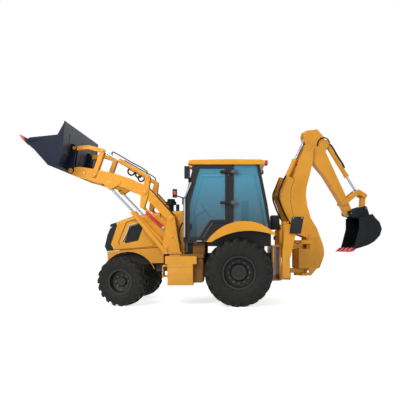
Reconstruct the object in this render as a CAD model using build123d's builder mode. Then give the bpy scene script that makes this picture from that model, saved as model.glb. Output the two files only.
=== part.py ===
from build123d import *
from math import asin, atan2, cos, degrees, hypot, radians, sin, sqrt
import os

os.makedirs("parts", exist_ok=True)

# Backhoe loader, in millimetres. It faces -X, its left side is -Y, +Z is up.
# The origin lies on the ground, below the middle of the whole machine.
# Side outlines are lists of (x, z) points, and lateral places are distances from the centre plane.

# Wheels and axles
rear_axle_x = 590
front_axle_x = -1660
rear_tyre_radius = 662
rear_tyre_width = 480
rear_track_half = 885
rear_rim_radius = 305
front_tyre_radius = 482
front_tyre_width = 310
front_track_half = 845
front_rim_radius = 229
kingpin_half = 735
steer_angle = -13
lug_depth_rear = 34
lug_depth_front = 24

# Fits between moving pieces
running_gap = 0.06
side_gap = 5
pin_radius = 24
# A cylinder's or link's free eye lies between two short pins, this far from each
stub_gap = 0.4
tie_eye_half = 32
tilt_eye_half = 26
lift_eye_half = 30
hoe_eye_half = 55
hoe_link_half = 60
leg_eye_half = 28

# Loader geometry, side view
arm_pivot = (-772, 1720)
elbow_pin = (-1290, 2251)
lift_eye = (-2010, 2352)
lift_base = (-863, 1150)
bucket_pin = (-2790, 2690)
lever_pivot = (-2324, 2593)
lever_top = (-2152, 3090)
bucket_ear = (-2718, 3142)
bellcrank_top = (-1241, 2562)
bellcrank_foot = (-1350, 1972)
tie_base = (-757, 1352)

# Loader, lateral layout
arm_y = 530
arm_thickness = 90
plate_thickness = 20
arm_half = arm_thickness / 2
cross_tube_at = (-2470, 2570)
cross_tube_radius = 50
loader_bucket_width = 2250
bucket_wall = 14

# Hoe geometry, in its own vertical plane: distance behind the swing pin, height
swing_x = 1863
swing_angle = 15
boom_foot = (356, 797)
boom_head = (211, 3264)
crowd_base = (-436, 2233)
crowd_eye = (190, 3525)
boom_ram_base = (220, 1160)
boom_ram_eye = (-160, 2200)
curl_base = (650, 3400)
curl_eye = (1382, 2352)
rocker_pivot = (1023, 2082)
rocker_end = (1540, 2268)
hoe_bucket_pin = (1160, 1872)
hoe_ear = (1519, 1985)
boom_inner_half = 125
boom_plate = 20
dipper_half = 88
hoe_bucket_width = 610
hoe_bucket_wall = 14

# Stabilizers
leg_pivot = (1512, 600)
leg_pivot_half = 800
leg_length = 1080
leg_ram_base_half = 640
leg_ram_base_z = 1620
leg_ram_arm = 300

# Body
hood_half = 430
hood_sheet = 25
cab_half = 750
roof_top = 2884
cab_floor_z = 1235
glass = 8
door_hinge_x = 400
hood_hinge = (-1014, 1845)

# Brings the middle of the whole machine, bucket teeth to hoe bucket, over the origin
machine_shift = -57


def side_plane(y):
    """A plane parallel to the side view whose extrusions run towards -Y."""
    return Plane.XZ.offset(-y)


def plate(outline, y_a, y_b, mode=Mode.ADD):
    """A flat plate with a side outline, between two distances from the centre plane."""
    with BuildSketch(side_plane(max(y_a, y_b))) as profile:
        with BuildLine():
            Polyline(*outline, close=True)
        make_face()
    extrude(profile.sketch, amount=abs(y_b - y_a), mode=mode)


def link(ends, y_a, y_b, mode=Mode.ADD):
    """A link plate: the hull of round ends, each (x, z, radius)."""
    with BuildSketch(side_plane(max(y_a, y_b))) as profile:
        for x, z, radius in ends:
            with Locations((x, z)):
                Circle(radius)
        make_hull()
    extrude(profile.sketch, amount=abs(y_b - y_a), mode=mode)


def cross_pin(at, radius, y_a, y_b, mode=Mode.ADD):
    """A pin or a bore across the machine."""
    with BuildSketch(side_plane(max(y_a, y_b))) as profile:
        with Locations(at):
            Circle(radius)
    extrude(profile.sketch, amount=abs(y_b - y_a), mode=mode)


def eye_stubs(at, radius, eye_reach, outer):
    """Two short pins that end just outside the faces of the eye between them."""
    for face in (-1, 1):
        cross_pin(at, radius, face * (eye_reach + stub_gap), face * outer)


def rod(start, end, radius, mode=Mode.ADD):
    """A round bar between two points."""
    start, end = Vector(*start), Vector(*end)
    with BuildSketch(Plane(origin=start, z_dir=end - start)) as profile:
        Circle(radius)
    extrude(profile.sketch, amount=(end - start).length, mode=mode)


def block(low, high, mode=Mode.ADD):
    """A box between its lowest and highest corners."""
    size = [b - a for a, b in zip(low, high)]
    middle = [(a + b) / 2 for a, b in zip(low, high)]
    with Locations(tuple(middle)):
        Box(*size, mode=mode)


def between(start, end, distance):
    """The point at a distance from start towards end, in the side view."""
    length = hypot(end[0] - start[0], end[1] - start[1])
    share = distance / length
    return (start[0] + (end[0] - start[0]) * share, start[1] + (end[1] - start[1]) * share)


def gap(start, end):
    return hypot(end[0] - start[0], end[1] - start[1])


def barrel(base, eye, y, radius, length, eye_radius, bore, eye_half):
    """A cylinder barrel with a bored base eye, hollow for its rod."""
    cross_pin(base, eye_radius, y - eye_half, y + eye_half)
    foot = between(base, eye, eye_radius * 0.7)
    mouth = between(base, eye, length)
    rod((foot[0], y, foot[1]), (mouth[0], y, mouth[1]), radius)
    gland = between(base, eye, length - 70)
    rod((gland[0], y, gland[1]), (mouth[0], y, mouth[1]), radius + 6)
    cross_pin(base, bore, y - eye_half, y + eye_half, Mode.SUBTRACT)


def barrel_bore(base, eye, y, rod_radius, length, depth):
    """The bore that the rod slides in, open at the barrel's mouth."""
    mouth = between(base, eye, length)
    bottom = between(base, eye, length - depth)
    rod(
        (mouth[0], y, mouth[1]),
        (bottom[0], y, bottom[1]),
        rod_radius + running_gap,
        Mode.SUBTRACT,
    )


def ram_rod(base, eye, y, rod_radius, inside, eye_radius, eye_half):
    """A piston rod that starts inside the barrel and ends in its eye."""
    start = between(base, eye, inside)
    neck = between(base, eye, gap(base, eye) - eye_radius * 0.7)
    rod((start[0], y, start[1]), (neck[0], y, neck[1]), rod_radius)
    cross_pin(eye, eye_radius, y - eye_half, y + eye_half)


def save(piece, name):
    piece = Location((machine_shift, 0, 0)) * piece
    piece.label = name
    export_step(piece, f"parts/{name}.step")


# Tyres and rims, made about the Y axis at the origin, then placed


def tyre(radius, width, rim_radius, lug_count, lug_depth, lug_turn):
    """A lugged tyre, hollow to its rim; the lugs lean the same way on both halves."""
    half = width / 2
    bead = rim_radius
    with BuildPart() as piece:
        with BuildSketch(Plane.XY) as section:
            with BuildLine():
                Polyline(
                    (bead, -half * 0.74),
                    (bead + 28, -half * 0.74),
                    (bead + 30, -half * 0.88),
                    (radius * 0.66 + bead * 0.2, -half),
                    (radius * 0.86, -half * 0.99),
                    (radius - lug_depth * 0.5, -half * 0.9),
                    (radius, -half * 0.7),
                    (radius, half * 0.7),
                    (radius - lug_depth * 0.5, half * 0.9),
                    (radius * 0.86, half * 0.99),
                    (radius * 0.66 + bead * 0.2, half),
                    (bead + 30, half * 0.88),
                    (bead + 28, half * 0.74),
                    (bead, half * 0.74),
                    close=True,
                )
            make_face()
        revolve(section.sketch, Axis.Y)
        groove_width = 2 * 3.1416 * radius / lug_count * 0.5
        for side in (-1, 1):
            phase = 180 / lug_count if side > 0 else 0
            for index in range(lug_count):
                turn = index * 360 / lug_count + phase
                place = Location((0, 0, 0), (0, turn, 0)) * Location(
                    (radius + lug_depth, side * half * 0.62, 0), (side * lug_turn, 0, 0)
                )
                with Locations(place):
                    Box(lug_depth * 4, half * 1.05, groove_width, mode=Mode.SUBTRACT)
    return piece.part


def rim(radius, width, disc_out, hub_radius, hub_in, hub_out, bolt_count, bolt_circle, hub_bore, side):
    """A rim band, its dished disc, hub and wheel bolts; side is -1 for the left."""
    half = width / 2
    with BuildPart() as piece:
        with BuildSketch(Plane.XY) as section:
            with BuildLine():
                Polyline(
                    (radius - 14, -half * 0.86),
                    (radius + 24, -half * 0.86),
                    (radius + 24, -half * 0.78),
                    (radius, -half * 0.76),
                    (radius, half * 0.76),
                    (radius + 24, half * 0.78),
                    (radius + 24, half * 0.86),
                    (radius - 14, half * 0.86),
                    (radius - 14, half * 0.6),
                    (radius - 22, disc_out + 20),
                    (hub_radius * 1.5, disc_out),
                    (hub_bore, disc_out),
                    (hub_bore, disc_out - 16),
                    (hub_radius * 1.5, disc_out - 16),
                    (radius - 36, disc_out),
                    (radius - 14, -half * 0.5),
                    close=True,
                )
            make_face()
        revolve(section.sketch, Axis.Y)
        with BuildSketch(Plane.XY) as hub:
            with BuildLine():
                Polyline(
                    (hub_bore, disc_out - hub_in),
                    (hub_radius, disc_out - hub_in),
                    (hub_radius, disc_out + hub_out * 0.55),
                    (hub_radius * 0.86, disc_out + hub_out),
                    (0, disc_out + hub_out),
                    (0, disc_out + hub_out - 25),
                    (hub_bore, disc_out + hub_out - 25),
                    close=True,
                )
            make_face()
        revolve(hub.sketch, Axis.Y)
        for index in range(bolt_count):
            angle = radians(index * 360 / bolt_count)
            place = Location(
                (bolt_circle * cos(angle), disc_out + 9, bolt_circle * sin(angle)), (90, 0, 0)
            )
            with Locations(place):
                Cylinder(13, 26)
    if side < 0:
        return piece.part.mirror(Plane.XZ)
    return piece.part


rear_tyre_shape = tyre(
    rear_tyre_radius, rear_tyre_width, rear_rim_radius, 21, lug_depth_rear, 38
)
front_tyre_shape = tyre(
    front_tyre_radius, front_tyre_width, front_rim_radius, 19, lug_depth_front, 36
)
sides = (("left", -1), ("right", 1))
rear_stub_radius = 60
front_stub_radius = 45
rear_centre_z = rear_tyre_radius
front_centre_z = front_tyre_radius


def steered(piece, side):
    """Turns a piece of a front wheel about its kingpin to the parked steering angle."""
    at = (front_axle_x, side * kingpin_half, 0)
    return Location(at, (0, 0, steer_angle)) * (Location((-at[0], -at[1], 0)) * piece)


for word, side in sides:
    at = Location((rear_axle_x, side * rear_track_half, rear_centre_z))
    save(at * rear_tyre_shape, f"rear_tyre_{word}")
    shape = rim(
        rear_rim_radius, rear_tyre_width, 20, 172, 60, 70, 12, 212, rear_stub_radius + running_gap, side
    )
    save(at * shape, f"rear_rim_{word}")
    at = Location((front_axle_x, side * front_track_half, front_centre_z))
    save(steered(at * front_tyre_shape, side), f"front_tyre_{word}")
    shape = rim(
        front_rim_radius, front_tyre_width, 5, 92, 28, 45, 8, 128, front_stub_radius + running_gap, side
    )
    save(steered(at * shape, side), f"front_rim_{word}")

# Steering knuckles: a yoke round the axle's end, with the stub that the wheel turns on
yoke_inner = 120
stub_out_front = front_track_half + 5 + 45 - 25 - 6
for word, side in sides:
    with BuildPart() as knuckle:
        for z_low, z_high in ((85, yoke_inner), (-yoke_inner, -85)):
            low_y, high_y = sorted((side * (kingpin_half - 55), side * (kingpin_half + 80)))
            block(
                (front_axle_x - 60, low_y, front_centre_z + z_low),
                (front_axle_x + 60, high_y, front_centre_z + z_high),
            )
        low_y, high_y = sorted((side * (kingpin_half + 58), side * (kingpin_half + 80)))
        block(
            (front_axle_x - 60, low_y, front_centre_z - yoke_inner),
            (front_axle_x + 60, high_y, front_centre_z + yoke_inner),
        )
        rod(
            (front_axle_x, side * (kingpin_half + 70), front_centre_z),
            (front_axle_x, side * stub_out_front, front_centre_z),
            front_stub_radius,
        )
        rod(
            (front_axle_x, side * kingpin_half, front_centre_z - yoke_inner),
            (front_axle_x, side * kingpin_half, front_centre_z + yoke_inner),
            pin_radius,
        )
    save(steered(knuckle.part, side), f"knuckle_{word}")

# Axle beams
with BuildPart() as axles:
    with Locations((front_axle_x, 0, front_centre_z)):
        Box(150, 2 * (kingpin_half - 60), 130)
    for side in (-1, 1):
        low_y, high_y = sorted((side * (kingpin_half - 65), side * kingpin_half))
        block(
            (front_axle_x - 45, low_y, front_centre_z - 80),
            (front_axle_x + 45, high_y, front_centre_z + 80),
        )
        rod(
            (front_axle_x, side * kingpin_half, front_centre_z - 80),
            (front_axle_x, side * kingpin_half, front_centre_z + 80),
            50,
        )
        rod(
            (front_axle_x, side * kingpin_half, front_centre_z - 100),
            (front_axle_x, side * kingpin_half, front_centre_z + 100),
            pin_radius + running_gap,
            Mode.SUBTRACT,
        )
    with Locations((front_axle_x, 0, front_centre_z)):
        Sphere(135)
    with Locations((rear_axle_x, 0, rear_centre_z)):
        Sphere(215)
    rear_stub_out = rear_track_half + 20 + 70 - 25 - 6
    rod((rear_axle_x, -620, rear_centre_z), (rear_axle_x, 620, rear_centre_z), 105)
    rod(
        (rear_axle_x, -rear_stub_out, rear_centre_z),
        (rear_axle_x, rear_stub_out, rear_centre_z),
        rear_stub_radius,
    )
save(axles.part, "axles")

# Chassis: two rails with cross members, the front carrier and the seats on the axles
rail_inner = 240
rail_outer = 320
rail_bottom = 790
rail_top = 1010
chassis_front = -2090
hoe_frame_front = 1262
panel_y = 446
panel_thickness = 22
with BuildPart() as chassis:
    for side in (-1, 1):
        low_y, high_y = sorted((side * rail_inner, side * rail_outer))
        block((chassis_front, low_y, rail_bottom), (hoe_frame_front, high_y, rail_top))
        front_beam_top = front_centre_z + 65
        low_y, high_y = sorted((side * 150, side * rail_outer))
        block(
            (front_axle_x - 60, low_y, front_beam_top),
            (front_axle_x + 60, high_y, rail_bottom + 30),
        )
        low_y, high_y = sorted((side * rail_inner, side * rail_outer))
        block(
            (rear_axle_x - 70, low_y, rear_centre_z + 105),
            (rear_axle_x + 70, high_y, rail_bottom + 10),
        )
    panel_seat = panel_y - panel_thickness / 2
    block((chassis_front, -panel_seat, 860), (chassis_front + 30, panel_seat, 1050))
    block((chassis_front + 10, -rail_outer, 740), (chassis_front + 60, rail_outer, 860))
    block((-980, -panel_seat, 840), (-900, panel_seat, rail_top))
    block((-640, -620, 840), (-520, 620, rail_top))
    block((hoe_frame_front - 60, -rail_outer, rail_bottom), (hoe_frame_front, rail_outer, rail_top))
save(chassis.part, "chassis_frame")

# Engine and gearbox, one plain block between the rails, on four feet
with BuildPart() as engine:
    block((-1900, -225, 836), (-1130, 225, 1480))
    block((-1131, -200, 640), (-450, 200, 838))
    for side in (-1, 1):
        for foot_x in (-1780, -1250):
            low_y, high_y = sorted((side * 200, side * rail_outer))
            block((foot_x - 50, low_y, rail_top), (foot_x + 50, high_y, rail_top + 50))
save(engine.part, "engine_block")

# Lower side panels with the front wheel arches and their inner liners
arch_radius = 568
arch_sheet = 12
arch_liner_in = 380
arch_from = 22
arch_to = 100
with BuildPart() as panels:
    for side in (-1, 1):
        inner = side * (panel_y - panel_thickness / 2)
        outer = side * (panel_y + panel_thickness / 2)
        plate(
            [
                (-2086, 845),
                (-2075, 1058),
                (-1161, 1128),
                (-940, 1148),
                (-940, 821),
                (-2086, 821),
            ],
            inner,
            outer,
        )
        cross_pin((front_axle_x, front_centre_z), arch_radius, inner, outer, Mode.SUBTRACT)
        with BuildSketch(side_plane(max(outer, side * arch_liner_in))) as band:
            with BuildLine():
                centre = (front_axle_x, front_centre_z)
                low = CenterArc(centre, arch_radius, arch_from, arch_to - arch_from)
                high = CenterArc(centre, arch_radius + arch_sheet, arch_from, arch_to - arch_from)
                Line(low @ 0, high @ 0)
                Line(low @ 1, high @ 1)
            make_face()
        extrude(band.sketch, amount=panel_y + panel_thickness / 2 - arch_liner_in)
save(panels.part, "side_panels")

# Loader towers: an inner and an outer plate on each side, tied at the foot, and a sloped guard
tower_inner = (445, 465)
tower_outer = (597, 617)
guard_y = (612, 650)
guard_run = [(-1521, 1885), (-889, 1112), (-947, 1062), (-1579, 1838)]
tower_pins = (arm_pivot, tie_base, lift_base)
with BuildPart() as towers:
    for side in (-1, 1):
        link(
            [(*arm_pivot, 78), (*tie_base, 80), (*lift_base, 80), (-640, 1060, 50)],
            side * tower_outer[0],
            side * tower_outer[1],
        )
        plate(
            [
                (-1300, 1620),
                (-880, 1120),
                (-880, 1010),
                (-560, 1010),
                (-690, 1790),
                (-860, 1795),
            ],
            side * tower_inner[0],
            side * tower_inner[1],
        )
        plate([(-930, 1010), (-560, 1010), (-560, 1056), (-930, 1056)], side * 445, side * 640)
        for at in tower_pins:
            cross_pin(at, pin_radius, side * tower_inner[0], side * tower_outer[1])
        plate(guard_run, side * guard_y[0], side * guard_y[1])
        plate(
            [(-947, 1062), (-889, 1112), (-840, 1112), (-840, 1010), (-947, 1010)],
            side * 597,
            side * guard_y[1],
        )
save(towers.part, "loader_towers")

# Cowl between the hood and the cab
cowl_front = -1000
cab_front_x = -510
with BuildPart() as cowl:
    plate(
        [
            (cowl_front, rail_top),
            (cowl_front, 1862),
            (cab_front_x - 6, 1900),
            (cab_front_x - 6, rail_top),
        ],
        -hood_half,
        hood_half,
    )
    fillet(cowl.edges().filter_by(Axis.X, tolerance=6).group_by(Axis.Z)[-1], 60)
    for side in (-1, 1):
        for y_low, y_high in ((238, 248), (292, 302)):
            link([(*hood_hinge, 12), (-990, 1845, 12)], side * y_low, side * y_high)
        cross_pin(hood_hinge, 8, side * 240, side * 300)
save(cowl.part, "cowl")

# Hood: a folded shell, open below, in front and behind, with a vent cut in each side
hood_outline = [
    (-1956, 1080),
    (-2022, 1205),
    (-1895, 1590),
    (-1929, 1653),
    (-1590, 1781),
    (hood_hinge[0], 1862),
    (hood_hinge[0], 1152),
]
vent_outline = [
    (-1618, 1571),
    (-1426, 1626),
    (-1362, 1571),
    (-1462, 1279),
    (-1720, 1222),
    (-1746, 1250),
]
with BuildPart() as hood:
    plate(hood_outline, -hood_half, hood_half)
    top_edges = [
        edge
        for edge in hood.edges()
        if edge.center().Z > 1600 and abs(abs(edge.center().Y) - hood_half) < 1
    ]
    fillet([edge for edge in top_edges if edge.length > 200], 55)
    inner_half = hood_half - hood_sheet
    plate(
        [
            (-2100, 1000),
            (-2100, 1590),
            (-1905, 1620),
            (-1583, 1752),
            (hood_hinge[0] + 40, 1836),
            (hood_hinge[0] + 40, 1000),
        ],
        -inner_half,
        inner_half,
        Mode.SUBTRACT,
    )
    plate(vent_outline, -hood_half - 20, hood_half + 20, Mode.SUBTRACT)
    for side in (-1, 1):
        low_y, high_y = sorted((side * 236, side * 304))
        block((-1034, low_y, 1815), (-1000, high_y, 1880), Mode.SUBTRACT)
        link([(*hood_hinge, 12), (-1050, 1845, 12)], side * 250, side * 290)
        cross_pin(hood_hinge, 8 + running_gap, side * 250, side * 290, Mode.SUBTRACT)
save(hood.part, "hood")

# Nose grille, head lamps and side vents, carried by the hood
grille_outline = [
    (-1900, 1586),
    (-1960, 1583),
    (-2040, 1526),
    (-2095, 1398),
    (-2150, 1159),
    (-2104, 1062),
    (-1962, 1080),
    (-2027, 1205),
]
vent_inset = 12
with BuildPart() as grille:
    plate(grille_outline, -hood_half + 4, hood_half - 4)
    slot_pitch = 62
    for index in range(7):
        z = 1130 + index * slot_pitch
        block((-2200, -300, z), (-2060 + index * 12, 300, z + 34), Mode.SUBTRACT)
    for side in (-1, 1):
        plate(
            [(-1905, 1592), (-1925, 1650), (-2035, 1612), (-2042, 1560), (-1975, 1575)],
            side * (hood_half - 10),
            side * (hood_half - 110),
        )
        plate(
            vent_outline,
            side * (hood_half - hood_sheet),
            side * (hood_half - vent_inset),
        )
        for index in range(6):
            z = 1285 + index * 46
            block_y = sorted((side * (hood_half - vent_inset - 8), side * (hood_half + 30)))
            block((-1760, block_y[0], z), (-1330, block_y[1], z + 16), Mode.SUBTRACT)
save(grille.part - hood.part, "grille")

# Side boxes: tool box, tanks and steps below the cab
box_out = 985
with BuildPart() as boxes:
    for side in (-1, 1):
        low_y, high_y = sorted((side * 640, side * box_out))
        block((-836, low_y, 825), (-230, high_y, 975))
        low_y, high_y = sorted((side * 640, side * (box_out + 8)))
        block((-792, low_y, 412), (-300, high_y, 826))
        low_y, high_y = sorted((side * 620, side * 645))
        block((-640, low_y, 840), (-520, high_y, 970))
        low_y, high_y = sorted((side * 640, side * 900))
        block((-905, low_y, 560), (-800, high_y, 590))
        block((-905, low_y, 560), (-885, high_y, 800))
        block((-905, low_y, 770), (-790, high_y, 800))
        low_y, high_y = sorted((side * 620, side * 760))
        block((-780, low_y, 976), (-240, high_y, 1000))
save(boxes.part, "side_boxes")

# Rear fenders: an arched skin from the cab's wheel well outwards, with a deep outer lip
fender_out = 1110
fender_lip = 26
well_half = 605
fender_sheet = 20
fender_tip = (-29, 1256)
fender_crown = (640, 1650)
fender_tail = (1280, 1412)
lip_crown = (650, 1460)
lip_tail = (1280, 1372)
with BuildPart() as fenders:
    for side in (-1, 1):
        with BuildSketch(side_plane(max(side * fender_out, side * (fender_out - fender_lip)))) as lip:
            with BuildLine():
                top = ThreePointArc(fender_tip, fender_crown, fender_tail)
                Line(fender_tail, lip_tail)
                ThreePointArc(lip_tail, lip_crown, (60, 1250))
                Line((60, 1250), fender_tip)
            make_face()
        extrude(lip.sketch, amount=fender_lip)
        with BuildSketch(side_plane(max(side * fender_out, side * well_half))) as skin:
            with BuildLine():
                ThreePointArc(fender_tip, fender_crown, fender_tail)
                Line(fender_tail, (fender_tail[0], fender_tail[1] - fender_sheet))
                ThreePointArc(
                    (fender_tail[0], fender_tail[1] - fender_sheet),
                    (fender_crown[0], fender_crown[1] - fender_sheet),
                    (fender_tip[0] + 20, fender_tip[1]),
                )
                Line((fender_tip[0] + 20, fender_tip[1]), fender_tip)
            make_face()
        extrude(skin.sketch, amount=fender_out - well_half)
save(fenders.part, "rear_fenders")

# Cab base: floor, front wall, sills, wheel well walls and rear wall
floor_sheet = 30
post_depth = 60
cab_rear_x = 1240
sill_front = -150
with BuildPart() as cab_base:
    block((cab_front_x, -cab_half, cab_floor_z), (sill_front, cab_half, cab_floor_z + floor_sheet))
    block(
        (sill_front - 1, -well_half, cab_floor_z),
        (cab_rear_x, well_half, cab_floor_z + floor_sheet),
    )
    block((cab_front_x, -690, cab_floor_z), (cab_front_x + 20, 690, 1905))
    block((cab_rear_x - 22, -well_half, 1165), (cab_rear_x, well_half, 1560))
    for side in (-1, 1):
        with BuildSketch(side_plane(max(side * well_half, side * (well_half - 20)))) as well:
            with BuildLine():
                ThreePointArc(
                    (fender_tip[0], fender_tip[1] - fender_sheet),
                    (fender_crown[0], fender_crown[1] - fender_sheet),
                    (fender_tail[0] - 40, fender_tail[1] - fender_sheet + 14),
                )
                Line(
                    (fender_tail[0] - 40, fender_tail[1] - fender_sheet + 14),
                    (fender_tail[0] - 40, 1165),
                )
                Line((fender_tail[0] - 40, 1165), (fender_tip[0], 1165))
                Line((fender_tip[0], 1165), (fender_tip[0], fender_tip[1] - fender_sheet))
            make_face()
        extrude(well.sketch, amount=20)
        low_y, high_y = sorted((side * 240, side * 320))
        for foot_x in (-420, 200, 1080):
            block((foot_x - 50, low_y, rail_top), (foot_x + 50, high_y, cab_floor_z))
save(cab_base.part, "cab_base")

# Quarter panels below the door's sloped edge, between the sill and the rear post
quarter = [
    (-150, 1266),
    (-18, 1500),
    (62, 1618),
    (388, 1618),
    (388, 1600),
    (235, 1548),
    (80, 1430),
    (-20, 1270),
]
post_in = cab_half - post_depth
rear_post = [(1000, 2784), (1160, 1996), (1235, 1480), (1175, 1500), (1098, 1996), (940, 2784)]
front_post = [
    (cab_front_x, 1265),
    (cab_front_x, 2015),
    (-300, 2784),
    (-240, 2784),
    (-450, 2005),
    (-450, 1265),
]
middle_post = [(388, 1618), (388, 2784), (486, 2784), (486, 1640)]
hinge_lug = 20
hinge_y = 800
door_hinge_z = (2030, 2640)
with BuildPart() as posts:
    for side in (-1, 1):
        for outline in (rear_post, front_post, middle_post):
            plate(outline, side * post_in, side * cab_half)
        plate(quarter, side * (cab_half - 25), side * cab_half)
        for z in door_hinge_z:
            for step in (-1, 1):
                z_low, z_high = sorted((z + step * 16, z + step * 40))
                low_y, high_y = sorted((side * (cab_half - 1), side * (hinge_y + 22)))
                block((door_hinge_x - 13, low_y, z_low), (door_hinge_x + 40, high_y, z_high))
            rod((door_hinge_x, side * hinge_y, z - 40), (door_hinge_x, side * hinge_y, z + 40), 9)
save(posts.part, "cab_posts")

# Roof: a slab with rounded upper edges and a shallow lip over the posts
with BuildPart() as roof:
    plate(
        [(-415, 2790), (-395, 2860), (-330, 2878), (400, 2893), (1050, 2884), (1104, 2850),
         (1104, 2784), (-300, 2784)],
        -790,
        790,
    )
    fillet(roof.edges().filter_by(Axis.X, tolerance=8).group_by(Axis.Z)[-1], 40)
save(roof.part, "cab_roof")

# Fixed glass: windscreen, rear window and the two rear side panes
with BuildPart() as panes:
    plate(
        [(-505, 1905), (-505, 2015), (-292, 2784), (-284, 2784), (-497, 2014), (-497, 1905)],
        -post_in,
        post_in,
    )
    plate([(1228, 1560), (1150, 1996), (990, 2784), (982, 2784), (1142, 1996), (1220, 1560)],
          -well_half, well_half)
    for side in (-1, 1):
        plate(
            [(486, 1690), (486, 2784), (940, 2784), (1096, 1996), (1158, 1572), (860, 1662)],
            side * 712,
            side * (712 + glass),
        )
save(panes.part, "cab_glass")

# Doors, hinged at the middle post
door_outline = [
    (-442, 1275),
    (-442, 2006),
    (-236, 2768),
    (382, 2768),
    (382, 1628),
    (56, 1628),
    (-26, 1506),
    (-158, 1275),
]
door_window = [
    (-385, 1350),
    (-385, 2000),
    (-190, 2705),
    (318, 2705),
    (318, 1690),
    (25, 1690),
    (-75, 1545),
    (-190, 1350),
]
door_in = cab_half - 35
for word, side in sides:
    with BuildPart() as door:
        plate(door_outline, side * door_in, side * cab_half)
        plate(door_window, side * (door_in - 5), side * (cab_half + 5), Mode.SUBTRACT)
        for z in door_hinge_z:
            low_y, high_y = sorted((side * (cab_half - 1), side * (hinge_y + 20)))
            block((240, low_y, z - 15), (door_hinge_x - 24, high_y, z + 15))
            low_y, high_y = sorted((side * (hinge_y - 20), side * (hinge_y + 20)))
            block((door_hinge_x - 40, low_y, z - 15), (door_hinge_x + 18, high_y, z + 15))
            rod(
                (door_hinge_x, side * hinge_y, z - 16),
                (door_hinge_x, side * hinge_y, z + 16),
                9 + running_gap,
                Mode.SUBTRACT,
            )
    save(door.part, f"door_{word}")
    with BuildPart() as pane:
        plate(door_window, side * (door_in + 12), side * (door_in + 12 + glass))
    save(pane.part, f"door_glass_{word}")

# Operator's seat and steering column, seen through the glass
with BuildPart() as seat:
    block((300, -150, cab_floor_z + floor_sheet), (620, 150, 1420))
    block((230, -250, 1419), (720, 250, 1540))
    plate([(640, 1539), (740, 1539), (820, 2150), (730, 2170)], -230, 230)
    plate(
        [(-480, cab_floor_z + floor_sheet), (-300, cab_floor_z + floor_sheet), (-300, 1880), (-480, 1880)],
        -160,
        160,
    )
    rod((-299, 0, 1800), (-120, 0, 1930), 22)
    rod((-130, 0, 1922), (-105, 0, 1940), 190)
save(seat.part, "operator_seat")

# Lamps, mirrors, hand rails and the intake stack
with BuildPart() as stack:
    rod((-860, 130, 1850), (-860, 130, 2050), 55)
    rod((-860, 130, 2050), (-860, 130, 2120), 110)
    rod((-860, 130, 2120), (-860, 130, 2175), 80)
    rod((-690, -140, 1860), (-690, -140, 2040), 36)
intake_stack = stack.part - cowl.part

with BuildPart() as fittings:
    rail_y = 800
    for side in (-1, 1):
        with BuildLine() as route:
            FilletPolyline(
                (-480, side * (cab_half), 1330),
                (-480, side * rail_y, 1330),
                (-480, side * rail_y, 2120),
                (-345, side * rail_y, 2440),
                (-345, side * cab_half, 2440),
                radius=22,
            )
        with BuildSketch(Plane(origin=route.line @ 0, z_dir=route.line % 0)) as tube:
            Circle(15)
        sweep(tube.sketch, path=route.line)
        low_y, high_y = sorted((side * 640, side * 745))
        block((-405, low_y, 2712), (-330, high_y, 2785))
        low_y, high_y = sorted((side * 752, side * 840))
        block((-480, low_y, 2500), (-375, high_y, 2740))
        low_y, high_y = sorted((side * cab_half, side * 765))
        block((-410, low_y, 2430), (-370, high_y, 2520))
        low_y, high_y = sorted((side * 840, side * 930))
        block((-700, low_y, 2120), (-620, high_y, 2280))
        rod((-640, side * 850, 2160), (-482, side * 802, 2110), 12)
        low_y, high_y = sorted((side * 560, side * 745))
        block((1104, low_y, 2790), (1160, high_y, 2870))
save(fittings.part - posts.part - roof.part + intake_stack, "lamps_rails_and_stack")

# Tow eyes under the nose and behind the hoe frame's foot
tow_eye_radius = 18
with BuildPart() as tow_eye:
    block((chassis_front - 70, -60, 770), (chassis_front + 10, 60, 800))
    rod((chassis_front - 35, 0, 760), (chassis_front - 35, 0, 810), tow_eye_radius, Mode.SUBTRACT)
save(tow_eye.part, "tow_eye")

# Loader arms, a pair with a pocket for each lift rod eye
arm_outline = [
    (-2790, 2750),
    (-2600, 2765),
    (-2230, 2707),
    (-1895, 2626),
    (-1600, 2532),
    (-1290, 2390),
    (-1206, 2316),
    (-718, 1772),
    (-830, 1668),
    (-1180, 2034),
    (-1400, 2195),
    (-1640, 2315),
    (-1840, 2392),
    (-2085, 2415),
    (-2320, 2466),
    (-2720, 2580),
    (-2815, 2634),
]
boss = 62
bracket_plate = 12
bracket_outline = [(-2062, 2340), (-2030, 2312), (-1950, 2330), (-1770, 2440), (-1790, 2490), (-1930, 2480)]
with BuildPart() as arms:
    for side in (-1, 1):
        inner = side * (arm_y - arm_half)
        outer = side * (arm_y + arm_half)
        plate(arm_outline, inner, outer)
        for at, radius in ((arm_pivot, 76), (bucket_pin, boss)):
            cross_pin(at, radius, inner, outer)
        pocket = arm_half - 14
        plate(
            [(-2160, 2330), (-2130, 2500), (-1890, 2500), (-1840, 2300)],
            side * (arm_y - pocket),
            side * (arm_y + pocket),
            Mode.SUBTRACT,
        )
        for face in (outer, inner):
            step = bracket_plate if abs(face) > arm_y else -bracket_plate
            plate(bracket_outline, face, face + side * step)
            cross_pin(lift_eye, 45, face, face + side * step)
        for at in (elbow_pin, bucket_pin, lever_pivot, arm_pivot):
            cross_pin(at, pin_radius + running_gap, inner, outer, Mode.SUBTRACT)
    cross_pin(cross_tube_at, cross_tube_radius, -(arm_y - arm_half + 1), arm_y - arm_half + 1)
save(arms.part, "loader_arms")


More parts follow.
